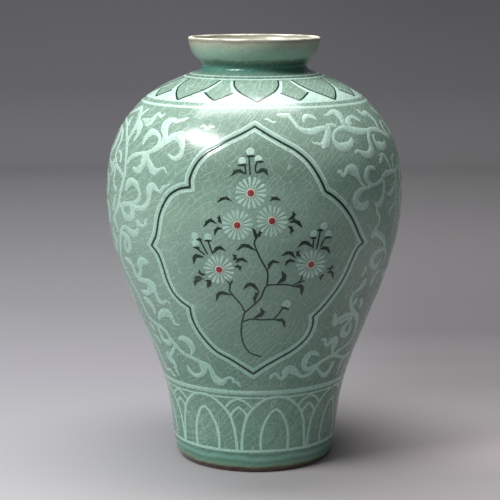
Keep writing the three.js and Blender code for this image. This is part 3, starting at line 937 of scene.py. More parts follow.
def lower_body():
    ring_inner = FOOT_RADIUS - FOOT_RING
    edge = float(wall(GLAZE_EDGE)[0])
    tuck = (edge - GLAZE_TUCK, GLAZE_EDGE - GLAZE_TUCK)
    corner = FOOT_RADIUS - FOOT_TUCK
    glaze_lip = part_of_profile([tuck, *[(edge - back, GLAZE_EDGE - down) for back, down in GLAZE_ROUND]])
    clay = part_of_profile([*arc((corner, FOOT_ROUND), FOOT_ROUND, -90, 0), tuck])
    ring_middle = (ring_inner + RING_ROUND, RING_ROUND)
    ring_bottom = part_of_profile([*arc(ring_middle, RING_ROUND, -180, -90), (corner, 0)])
    recess = part_of_profile([
        *[(radius, FOOT_RECESS + rise) for radius, rise in RECESS_MIDDLE],
        *[(ring_inner - inwards, FOOT_RECESS + rise) for inwards, rise in RECESS_EDGE],
        (ring_inner, RING_ROUND),
    ])
    inside = lining(FLOOR_TOP + WALL, SEAM)
    low_radius, low_height = inside[-1]
    floor_height = FLOOR_TOP - FLOOR_DIP
    floor = part_of_profile([
        *inside,
        *arc((low_radius - WALL, low_height), WALL, 0, -90)[1:],
        (low_radius / 2, floor_height),
        (0, floor_height),
    ])
    outside = wall_profile(GLAZE_EDGE, SEAM, BODY_STEP, BODY_WALL)
    seam = part_of_profile([outside[0][-1], inside[0]])
    mesh = turned("lower_body_glazed", [recess, ring_bottom, clay, glaze_lip, outside, seam, floor])
    piece("lower_body_glazed", mesh, GLAZE, "lower_body")


BORE = NECK_RADIUS - NECK_WALL
SHOULDER_INSIDE = COLLAR + 6


def upper_body():
    outside = wall_profile(SEAM, NECK_ROOT, BODY_STEP, BODY_WALL)
    inside = lining(SEAM, SHOULDER_INSIDE)
    seat = part_of_profile([outside[0][-1], (BORE, NECK_ROOT)])
    neck_bore = part_of_profile([(BORE, NECK_ROOT), (BORE, NECK_ROOT - WALL)])
    under = part_of_profile([(BORE, NECK_ROOT - WALL), *inside])
    seam = part_of_profile([inside[-1], outside[0][0]])
    mesh = turned("upper_body_glazed", [outside, seat, neck_bore, under, seam])
    piece("upper_body_glazed", mesh, GLAZE, "upper_body")


# The inside of the mouth: (in from the outside, down) at the lip, then (radius, height) down the throat
LIP_POINTS = 14
LIP_INSIDE = [(LIP_WALL + 0.4, 1), (LIP_WALL + 1.3, 3)]
THROAT = [(39.5, 289), (36.6, 285.6), (34, 283), (32.4, 281), (BORE, 278.8), (BORE, 277)]


def neck_and_mouth():
    outside = wall_profile(NECK_ROOT, LIP, MOUTH_STEP, MOUTH_WALL)
    lip_round = LIP_WALL / 2
    inside = part_of_profile([
        *arc((MOUTH_RADIUS - lip_round, LIP), lip_round, 0, 180, LIP_POINTS),
        *[(MOUTH_RADIUS - inwards, LIP - down) for inwards, down in LIP_INSIDE],
        *THROAT,
        (BORE, NECK_ROOT),
    ])
    bottom = part_of_profile([(BORE, NECK_ROOT), outside[0][0]])
    mesh = turned("neck_and_mouth_glazed", [outside, inside, bottom])
    piece("neck_and_mouth_glazed", mesh, GLAZE, "neck_and_mouth")


# Pieces made of lines round the vase: look, CAD nodes, and rings as (height, width, lift, wobble)
LINES = [
    ("neck_lines", WHITE, ["neck_line_upper", "neck_line_lower"],
     [(274.6, 1.1, LIFT, 0.05), (272.9, 1.3, LIFT, 0.06)]),
    ("neck_hairline", BLACK, [], [(273.7, 0.5, 0.05, 0.05)]),
    ("collar_line_white", WHITE, ["collar_line"], [(COLLAR - 0.1, 2.0, LIFT, 0.15)]),
    ("band_line_broad", WHITE, ["band_line_upper"], [(BAND, 3.3, LIFT, 0.2)]),
    ("band_line_thin", WHITE, ["band_line_lower"], [(56.3, 1.2, LIFT, 0.2)]),
]
FOOT_RING_LINE = (FOOT_LINE, 2.1, LIFT, 0.15)
FOOT_RING_SEED = 7


def lines_round_the_vase():
    seed = 0
    for name, look, nodes, rings in LINES:
        slip = Slip()
        for ring in rings:
            seed += 1
            slip.ring(*ring, seed)
        slip.lay(name, look, *nodes)


# The shoulder collar: green petals in a white ground, black along their edges
PETALS = 8
PETAL_TURN = 1.5
COLLAR_LOW = 258.3
COLLAR_HIGH = 272.5
PETAL_SIDE = [(0, 259.7), (4.5, 262.4), (7.3, 264), (10.8, 266), (14.5, 269), (16.8, 272.2)]
TIP_SIDE = [(0, 260.3), (9, 265)]
TIP_TOP = (2.8, 272.5)
PETAL_LINE = 1.4
GROUND_LIFT = 0.07
PETAL_LIFT = 0.14
PETAL_LINE_LIFT = 0.22
PETAL_WANDER = 0.5
PETAL_OVERLAP = 0.2
COLLAR_SEED = 11

# How finely the collar is divided: its ground, then a petal's rows and columns and a tip's
GROUND_ROWS = 16
GROUND_TURN = 1.25
PETAL_ROWS = 22
PETAL_COLUMNS = 25
TIP_LOW_ROWS = 9
TIP_HIGH_ROWS = 10
TIP_COLUMNS = 15


def mirrored(side):
    """A half drawing that starts in the middle, with its mirror image before it."""
    side = np.array(side, float)
    return np.concatenate([side[:0:-1] * (-1, 1), side])


def collar_ground():
    ground = Slip()
    height = np.linspace(COLLAR_LOW, COLLAR_HIGH, GROUND_ROWS)
    turn = np.arange(0, 360, GROUND_TURN)
    points = np.stack(np.meshgrid(turn, height, indexing="ij"), axis=-1)
    n, rows = points.shape[:2]
    lift = np.full(rows, GROUND_LIFT)
    lift[[0, -1]] = -SUNK
    top, normal = on_wall(points.reshape(-1, 2), np.tile(lift, n))
    bottom, _ = on_wall(points.reshape(-1, 2), -2 * SUNK)
    faces = []
    for i in range(n):
        j = (i + 1) % n
        for k in range(rows - 1):
            face = [i * rows + k, j * rows + k, j * rows + k + 1, i * rows + k + 1]
            faces += [face, [corner + n * rows for corner in face][::-1]]
        for k, order in ((0, 1), (rows - 1, -1)):
            side = [j * rows + k, i * rows + k, (i + n) * rows + k, (j + n) * rows + k]
            faces.append(side[::order])
    ground.add(np.concatenate([top, bottom]), np.concatenate([normal, normal]), faces)
    ground.lay("collar_ground_white", WHITE, "collar_ground")


def collar_petals():
    petals, petal_lines, tip_lines = Slip(), Slip(), Slip()
    petal_side = evenly(curve(PETAL_SIDE), PETAL_ROWS)
    edge = petal_side[-1, 0]
    petal = [*petal_side, (edge, COLLAR_HIGH), (edge, COLLAR_HIGH + PETAL_OVERLAP)]
    tip = [*evenly(TIP_SIDE, TIP_LOW_ROWS), *np.linspace(TIP_SIDE[-1], TIP_TOP, TIP_HIGH_ROWS)[1:]]
    chance = random.Random(COLLAR_SEED)
    for i in range(PETALS):
        wander = chance.uniform(-PETAL_WANDER, PETAL_WANDER)
        centre = np.array([PETAL_TURN + 360 * i / PETALS + wander, 0])
        for lines, side, edges, columns in (
            (petal_lines, petal_side, petal, PETAL_COLUMNS),
            (tip_lines, TIP_SIDE, tip, TIP_COLUMNS),
        ):
            rows = [centre + np.linspace((-a, z), (a, z), columns) for a, z in edges]
            petals.sheet(rows, PETAL_LIFT)
            lines.stroke(centre + mirrored(side), PETAL_LINE, lift=PETAL_LINE_LIFT, smooth=False)
            centre = centre + (180 / PETALS, 0)
    petals.lay("collar_petals_green", GLAZE)
    for name, lines in (("petal", petal_lines), ("tip", tip_lines)):
        lines.lay(f"collar_{name}_lines", BLACK, *[f"collar_{name}_line_{k + 1}" for k in range(PETALS)])


# Lotus panels over the foot, as half widths in degrees for a panel 45 degrees wide
PANEL_CENTRES = [13.9, 60.5, 105, 149, 193.5, 237.5, 282, 326.3]
PANEL_DRAWN = 45
PANEL_LINE = 1.9
OUTER_ARCH = [(0, 57), (6, 55.5), (10, 52.5), (14.5, 47.5), (18, 41), (20, 33), (21, 25), (21.6, 16)]
INNER_ARCH = [(0, 47.5), (3.2, 44.5), (5.7, 39.5), (7.8, 34), (9, 26), (9, 16)]
BACK_ARCH = [(0, 55.3), (5, 52.6), (8.3, 48.6)]
BACK_INNER_ARCH = [(0, 49.2), (4, 45), (5.5, 41.3)]

# The arches lie over each other by these lifts, and the ones behind are drawn this much thinner
ARCHES = ((OUTER_ARCH, LIFT), (INNER_ARCH, LIFT + 0.01))
BACK_ARCHES = ((BACK_ARCH, LIFT + 0.02), (BACK_INNER_ARCH, LIFT + 0.03))
BACK_THINNER = 0.3


def pointed(side):
    """An arch up one side and down the other, with a point at its crown."""
    return mirrored(curve(side))


def lotus_panels():
    panels = Slip()
    panels.ring(*FOOT_RING_LINE, FOOT_RING_SEED)
    for k, centre in enumerate(PANEL_CENTRES):
        before = (centre - PANEL_CENTRES[k - 1]) % 360
        after = (PANEL_CENTRES[(k + 1) % len(PANEL_CENTRES)] - centre) % 360
        share = (before + after) / 2 / PANEL_DRAWN
        for arch, lift in ARCHES:
            path = pointed(arch) * (share, 1) + (centre, 0)
            panels.stroke(path, PANEL_LINE, lift=lift, smooth=False, cap=False)
        for arch, lift in BACK_ARCHES:
            path = pointed(arch) + (centre + after / 2, 0)
            panels.stroke(path, PANEL_LINE - BACK_THINNER, lift=lift, smooth=False)
    panels.lay("lotus_panels", WHITE, "panel_lines")


# Medallion: its lobes run clockwise from the tip at its head
LOBES = [
    [(0.2, 245.3), (6.1, 239.6), (11.1, 234.9), (16, 230.1), (20.2, 223.6), (23, 216.6),
     (25.1, 209.5), (26.6, 203.3)],
    [(26.6, 203.3), (29.3, 200.4), (33.6, 193.8), (37.5, 185.5), (40.2, 178.3), (42.9, 170.9),
     (45.3, 166.2)],
    [(45.3, 166.2), (42.5, 162.4), (40.5, 154.1), (38.8, 145.1), (36.7, 137.2), (33.7, 129.4),
     (30.5, 122.7), (26.9, 116.6)],
    [(26.9, 116.6), (27.5, 109.7), (26.4, 102.4), (23.3, 96.6), (18.6, 91.5), (12.9, 87), (6.2, 81.6),
     (-0.6, 75.3)],
    [(-0.6, 75.3), (-6.1, 80.4), (-12.8, 86.4), (-19.3, 91.4), (-23.8, 98.4), (-27, 106.1),
     (-28.7, 114.5), (-28.7, 123.1)],
    [(-28.7, 123.1), (-32.3, 126.7), (-35.6, 132.7), (-37.2, 140.7), (-37.9, 150), (-39.2, 159.1),
     (-42, 164.8)],
    [(-42, 164.8), (-39.2, 171.7), (-37.9, 178.7), (-36.9, 185.6), (-34.9, 193.6), (-32, 200.6),
     (-27.9, 204.9), (-23.8, 206.4)],
    [(-23.8, 206.4), (-24, 211.2), (-23.2, 216.6), (-21.3, 223), (-18.4, 228.4), (-14.7, 232.2),
     (-10.4, 236.5), (-4.6, 241.1), (0.2, 245.3)],
]
FRAME_LINE = 1.8
FRAME_OUTER = 2.8
FRAME_INNER = 2.4
FRAME_EDGE = 1.25
FRAME_OVERLAP = 0.35
LOBE_POINTS = 48

# To find a corner of the frame, its sides are carried on by this many steps, and so many are searched
CARRIED_ON = 14
SEARCHED = 28


def crossing(first, second):
    """Where the end of one drawn path meets the start of the next, both carried on if they are short."""
    a = np.concatenate([first, [first[-1] + (first[-1] - first[-2]) * CARRIED_ON]])
    b = np.concatenate([[second[0] + (second[0] - second[1]) * CARRIED_ON], second])
    for i in range(len(a) - 2, max(-1, len(a) - SEARCHED - 2), -1):
        for j in range(min(SEARCHED, len(b) - 1)):
            p, r = a[i], a[i + 1] - a[i]
            q, s = b[j], b[j + 1] - b[j]
            turn = r[0] * s[1] - r[1] * s[0]
            if abs(turn) < 1e-9:
                continue
            t = ((q - p)[0] * s[1] - (q - p)[1] * s[0]) / turn
            u = ((q - p)[0] * r[1] - (q - p)[1] * r[0]) / turn
            if 0 <= t <= 1 and 0 <= u <= 1:
                return p + r * t, i, j
    return (first[-1] + second[0]) / 2, len(first) - 2, 1


def frame_side(turn, shift):
    """The medallion's outline moved outwards, with its corners kept, as points lobe by lobe."""
    lobes = [shifted(curve(lobe) + (turn, 0), -shift) for lobe in LOBES]
    corners = [crossing(lobes[k - 1], lobes[k]) for k in range(len(lobes))]
    sides = []
    for k, lobe in enumerate(lobes):
        start, _, j = corners[k]
        end, i, _ = corners[(k + 1) % len(lobes)]
        side = np.concatenate([[start], lobe[j:i + 1], [end]])
        sides.append(evenly(side, LOBE_POINTS)[:-1])
    return np.concatenate(sides)


# Everything inside the medallion is drawn as (degrees, height above the band line)
FLOWERS = [(-1.3, 143.4), (-6.1, 122.4), (6.3, 125.1), (-13.4, 91.8), (21.9, 94.4)]
FLOWER_RADIUS = 10.4
EYE_RADIUS = 2.25
HALO = 0.7
FLOWER_PETALS = 17
BUDS = [
    (-1.5, 169.5), (-4.5, 163.5), (1.5, 165), (-22, 114), (-22, 109), (-17, 113.5), (26, 120), (22, 115.5),
    (28, 114.5), (13.5, 67),
]
BUD_RADIUS = 2.6
LOW_BUD_RADIUS = 3.1
BUD_STEMS = [
    [(-2, 166.5), (-1.5, 155)],
    [(-4.5, 161), (-3.5, 160.5), (-3, 155.5)],
    [(1.5, 164), (0.5, 161), (0.5, 156.5)],
    [(-20, 111.5), (-17.5, 102)],
    [(-21.5, 105.5), (-18.5, 101.5)],
    [(-17, 111.5), (-15.5, 102.5)],
    [(24.5, 117.5), (23.5, 105)],
    [(22, 112), (22, 105.5)],
    [(28, 112.5), (26.5, 111.5), (25, 106)],
    [(8.5, 56.5), (10.5, 60), (12, 64.5)],
]
CAPS = [
    [(-3.2, 166.7), (0.4, 166.7)],
    [(-6.2, 160.9), (-2.6, 161.6)],
    [(0.4, 163.4), (3.6, 163.2)],
    [(-21.6, 111.8), (-19.2, 112)],
    [(-23, 106.4), (-20.2, 106)],
    [(-18.4, 111.4), (-15.6, 111.6)],
    [(23.2, 117.6), (26, 117.6)],
    [(20.6, 113), (23.2, 112.6)],
    [(26.6, 112.6), (29.6, 112.2)],
    [(11.2, 65.4), (15, 63)],
]
STEMS = [
    [(3.5, 28), (-2, 31), (-5, 37), (-6, 45.5), (-5.5, 53.5), (-4.5, 59.5), (-4, 61.5)],
    [(-4, 61.5), (-5.5, 67), (-8.5, 73.5), (-10, 77.5), (-9.5, 81), (-11, 85.5)],
    [(-9.5, 81), (-8.5, 84.5)],
    [(-4, 61.5), (0, 67.5), (2.5, 72), (4, 78.5), (5, 81), (8, 81.5), (13.5, 81), (16, 79.5)],
    [(15.5, 80.5), (18, 83), (19, 87.5)],
    [(17, 81.5), (20, 83.5)],
    [(5, 81), (5, 90.5), (2.5, 99), (1, 105), (0, 111), (1, 115)],
    [(1, 115), (0, 119.5)],
    [(1, 115), (2, 118)],
    [(-5, 54.5), (-1.5, 56.5), (3, 56), (9, 56), (11.5, 54.5)],
    [(-0.5, 120.5), (0, 117), (0.5, 114)],
]
STEM_WIDTH = 1.05

# Leaves, each from tip to tip over its middle, with its width there
LEAVES = [
    (2.4, [(-8.5, 154), (-6, 157.5), (-3, 155.5)]),
    (2.6, [(5, 154.5), (3.5, 158), (0.5, 156)]),
    (1.9, [(-13.5, 137), (-10.5, 140), (-8, 138)]),
    (2.0, [(5.5, 138), (7, 140), (9.5, 138.5)]),
    (2.0, [(-12.5, 129), (-12.5, 125.5), (-11.5, 123)]),
    (2.2, [(-18.5, 120.5), (-16, 125), (-13.5, 123)]),
    (1.9, [(-11.5, 120), (-13.5, 119.5), (-14.5, 115)]),
    (2.1, [(14, 131.5), (14, 128), (12, 125.5)]),
    (2.4, [(12.5, 124), (15, 124.5), (17.5, 120)]),
    (2.0, [(12, 121.5), (13.5, 119.5), (13, 116)]),
    (2.3, [(-6.5, 105.5), (-3.5, 109), (0.5, 105.5)]),
    (1.4, [(2, 119.5), (2, 116.5), (0.5, 114.5)]),
    (2.6, [(-23.5, 94.5), (-22.5, 100), (-19, 100)]),
    (2.4, [(-15.5, 103), (-13, 107), (-10.5, 105)]),
    (1.8, [(-8, 103), (-7, 100.5), (-8, 98.5)]),
    (2.0, [(-7, 97), (-5, 99.5), (-2.5, 97.5)]),
    (1.8, [(-7.5, 94.5), (-5.5, 94), (-5.5, 91.5)]),
    (1.8, [(-21.5, 91), (-21, 88), (-19, 88)]),
    (1.8, [(-24.5, 84), (-22.5, 85.5), (-20, 84.5)]),
    (2.2, [(-24.5, 79), (-23.5, 82.5), (-21, 84)]),
    (3.0, [(-19.5, 83.5), (-17.8, 82.6), (-19, 78.5)]),
    (2.4, [(-16, 69), (-14, 75), (-9, 74)]),
    (2.4, [(16, 107), (18.5, 110), (22, 106.5)]),
    (1.9, [(17, 105), (16, 102.5), (17.5, 100.5)]),
    (2.2, [(10, 101.5), (13, 103.5), (15.5, 99.5)]),
    (2.0, [(11.5, 94.5), (13, 98), (15.5, 97)]),
    (2.2, [(24.5, 104.5), (27.5, 105), (29.5, 101)]),
    (1.8, [(31.5, 93), (31, 90.5), (29, 90.5)]),
    (2.1, [(29, 88), (31.5, 87.5), (33, 82.5)]),
    (1.8, [(28.5, 86.5), (27, 85), (27, 82.5)]),
    (3.2, [(10.5, 91), (11.5, 86), (9, 82)]),
    (2.1, [(5, 92), (6.5, 97.5), (9.5, 97)]),
    (2.5, [(-4.5, 78.5), (-1.5, 82), (2, 77)]),
    (2.2, [(2, 77), (0.5, 73.5), (0, 68.5)]),
    (2.7, [(15.5, 79.5), (19, 79), (19.5, 72.5)]),
    (2.7, [(2.5, 65), (3.5, 61), (-0.5, 57)]),
    (2.1, [(9.5, 56), (12.5, 55), (14, 49.5)]),
]

# Short points stand out from a leaf at these shares of its length
LOBES_AT = (0.3, 0.62)
LOBE_REACH = 0.5
LOBE_LEAN = 0.5
LOBE_WIDTH = 1.9
CAP_WIDTH = 1.9

# A petal starts this far from the eye; its aim in degrees, its end and its width vary by chance
PETAL_GAP = 0.9
PETAL_POINTS = 9
PETAL_AIM = (-2, 2)
PETAL_END = (-0.5, 0.3)
PETAL_WIDTH = (1.65, 2.1)
BUD_SIZE = (0.9, 1.06)
BUD_SQUASH = (0.92, 1.08)

# What lies over other slip has more lift
EDGE_LIFT = LIFT + 0.03
LINE_LIFT = LIFT + 0.06
HALO_LIFT = LIFT + 0.03
EYE_LIFT = LIFT + 0.09
LOBE_LIFT = LIFT + 0.03
LEAF_LIFT = LIFT + 0.04
CAP_LIFT = LIFT + 0.05

# Each next stroke of a piece lies this much higher, so that no two share a surface
STROKE_RISE = 0.003
LEAF_RISE = 0.001

# Widths along a leaf, a lobe and a petal: the least share of a leaf's, how they taper, and a petal's
# share at its root and where it is widest
LEAF_TIP = 0.06
TAPER = 0.8
PETAL_ROOT = 0.26
PETAL_WIDEST = 0.85
PETAL_TAPER = 1.7


def leaf_width(width):
    """Widest in the middle of a leaf and pointed at both its ends."""
    return lambda share: width * np.clip(np.sin(np.pi * share), LEAF_TIP, 1) ** TAPER


def lobe_width(share):
    """Pointed at the end of a lobe."""
    return LOBE_WIDTH * (1 - share) ** TAPER


def petal_width(width):
    """Narrow at a petal's root, widest towards its round end."""
    def at(share):
        full = np.sin(np.clip(share / PETAL_WIDEST, 0, 1) * np.pi / 2) ** PETAL_TAPER
        return width * (PETAL_ROOT + (1 - PETAL_ROOT) * full)

    return at


def lobes(leaf, width):
    """The short points that stand out from the outer side of a leaf, each from its root to its tip."""
    path = curve(leaf)
    length = lengths(path)[-1]
    middle = resampled(path, [length / 2])[0]
    outward = unit((middle - (path[0] + path[-1]) / 2) * millimetres(middle))
    along = unit((path[-1] - path[0]) * millimetres(middle))
    points = []
    for share, lean in zip(LOBES_AT, (-LOBE_LEAN, LOBE_LEAN)):
        root = resampled(path, [share * length])
        reach = outward * (width / 2 + LOBE_REACH) + along * lean
        points.append(np.concatenate([root, moved(root, *reach)]))
    return points


def medallion_frame(side, turn):
    half = FRAME_LINE / 2
    outside = half + FRAME_OUTER
    inside = -half - FRAME_INNER
    bands = [
        ("outer", half - FRAME_OVERLAP, outside, LIFT, THIN, [f"{side}_frame_outer"]),
        ("outer_edge", outside - FRAME_EDGE, outside, EDGE_LIFT, WHITE, []),
        ("inner", inside, -half + FRAME_OVERLAP, LIFT, THIN, [f"{side}_frame_inner"]),
        ("inner_edge", inside, inside + FRAME_EDGE, EDGE_LIFT, WHITE, []),
        ("line", -half, half, LINE_LIFT, BLACK, [f"{side}_frame_line"]),
    ]
    for name, inner, outer, lift, look, nodes in bands:
        band = Slip()
        band.strip(frame_side(turn, outer), frame_side(turn, inner), lift, closed=True)
        band.lay(f"{side}_medallion_{name}", look, *nodes)


def flower_petals(centre, chance):
    head = Slip()
    start = chance.uniform(0, 360)
    for k in range(FLOWER_PETALS):
        angle = math.radians(start + 360 * k / FLOWER_PETALS + chance.uniform(*PETAL_AIM))
        end = FLOWER_RADIUS + chance.uniform(*PETAL_END)
        reach = np.linspace(EYE_RADIUS + PETAL_GAP, end, PETAL_POINTS)
        path = moved([centre] * PETAL_POINTS, reach * math.cos(angle), reach * math.sin(angle))
        head.stroke(path, petal_width(chance.uniform(*PETAL_WIDTH)), smooth=False)
    return head


def medallion(side, turn):
    def place(points):
        return np.array(points, float) + (turn, BAND)

    medallion_frame(side, turn)
    chance = random.Random(side)
    for number, flower in enumerate(FLOWERS, 1):
        centre = place(flower)
        head = flower_petals(centre, chance)
        head.lay(f"{side}_chrysanthemum_{number}", PETAL, f"{side}_flower_{number}")
        halo = Slip()
        halo.spot(centre, EYE_RADIUS + HALO, HALO_LIFT)
        halo.lay(f"{side}_chrysanthemum_halo_{number}", ROSY)
        eye = Slip()
        eye.spot(centre, EYE_RADIUS, EYE_LIFT)
        eye.lay(f"{side}_chrysanthemum_eye_{number}", RED, f"{side}_flower_centre_{number}")

    branch = Slip()
    for k, stem in enumerate(STEMS + BUD_STEMS):
        branch.stroke(place(stem), STEM_WIDTH, LIFT + STROKE_RISE * k)
    branch.lay(f"{side}_stems", BLACK, f"{side}_stem")
    leaves = Slip()
    for k, (width, leaf) in enumerate(LEAVES):
        leaves.stroke(place(leaf), leaf_width(width), LEAF_LIFT + LEAF_RISE * k)
        for point in lobes(place(leaf), width):
            leaves.stroke(point, lobe_width, LOBE_LIFT + LEAF_RISE * k, cap=False)
    for k, cap in enumerate(CAPS):
        leaves.stroke(place(cap), leaf_width(CAP_WIDTH), CAP_LIFT + LEAF_RISE * k)
    leaves.lay(f"{side}_leaves", BLACK)
    buds = Slip()
    for bud in BUDS[:-1]:
        radius = BUD_RADIUS * chance.uniform(*BUD_SIZE)
        buds.spot(place(bud), radius, squash=chance.uniform(*BUD_SQUASH))
    buds.spot(place(BUDS[-1]), LOW_BUD_RADIUS)
    buds.lay(f"{side}_buds", WHITE)


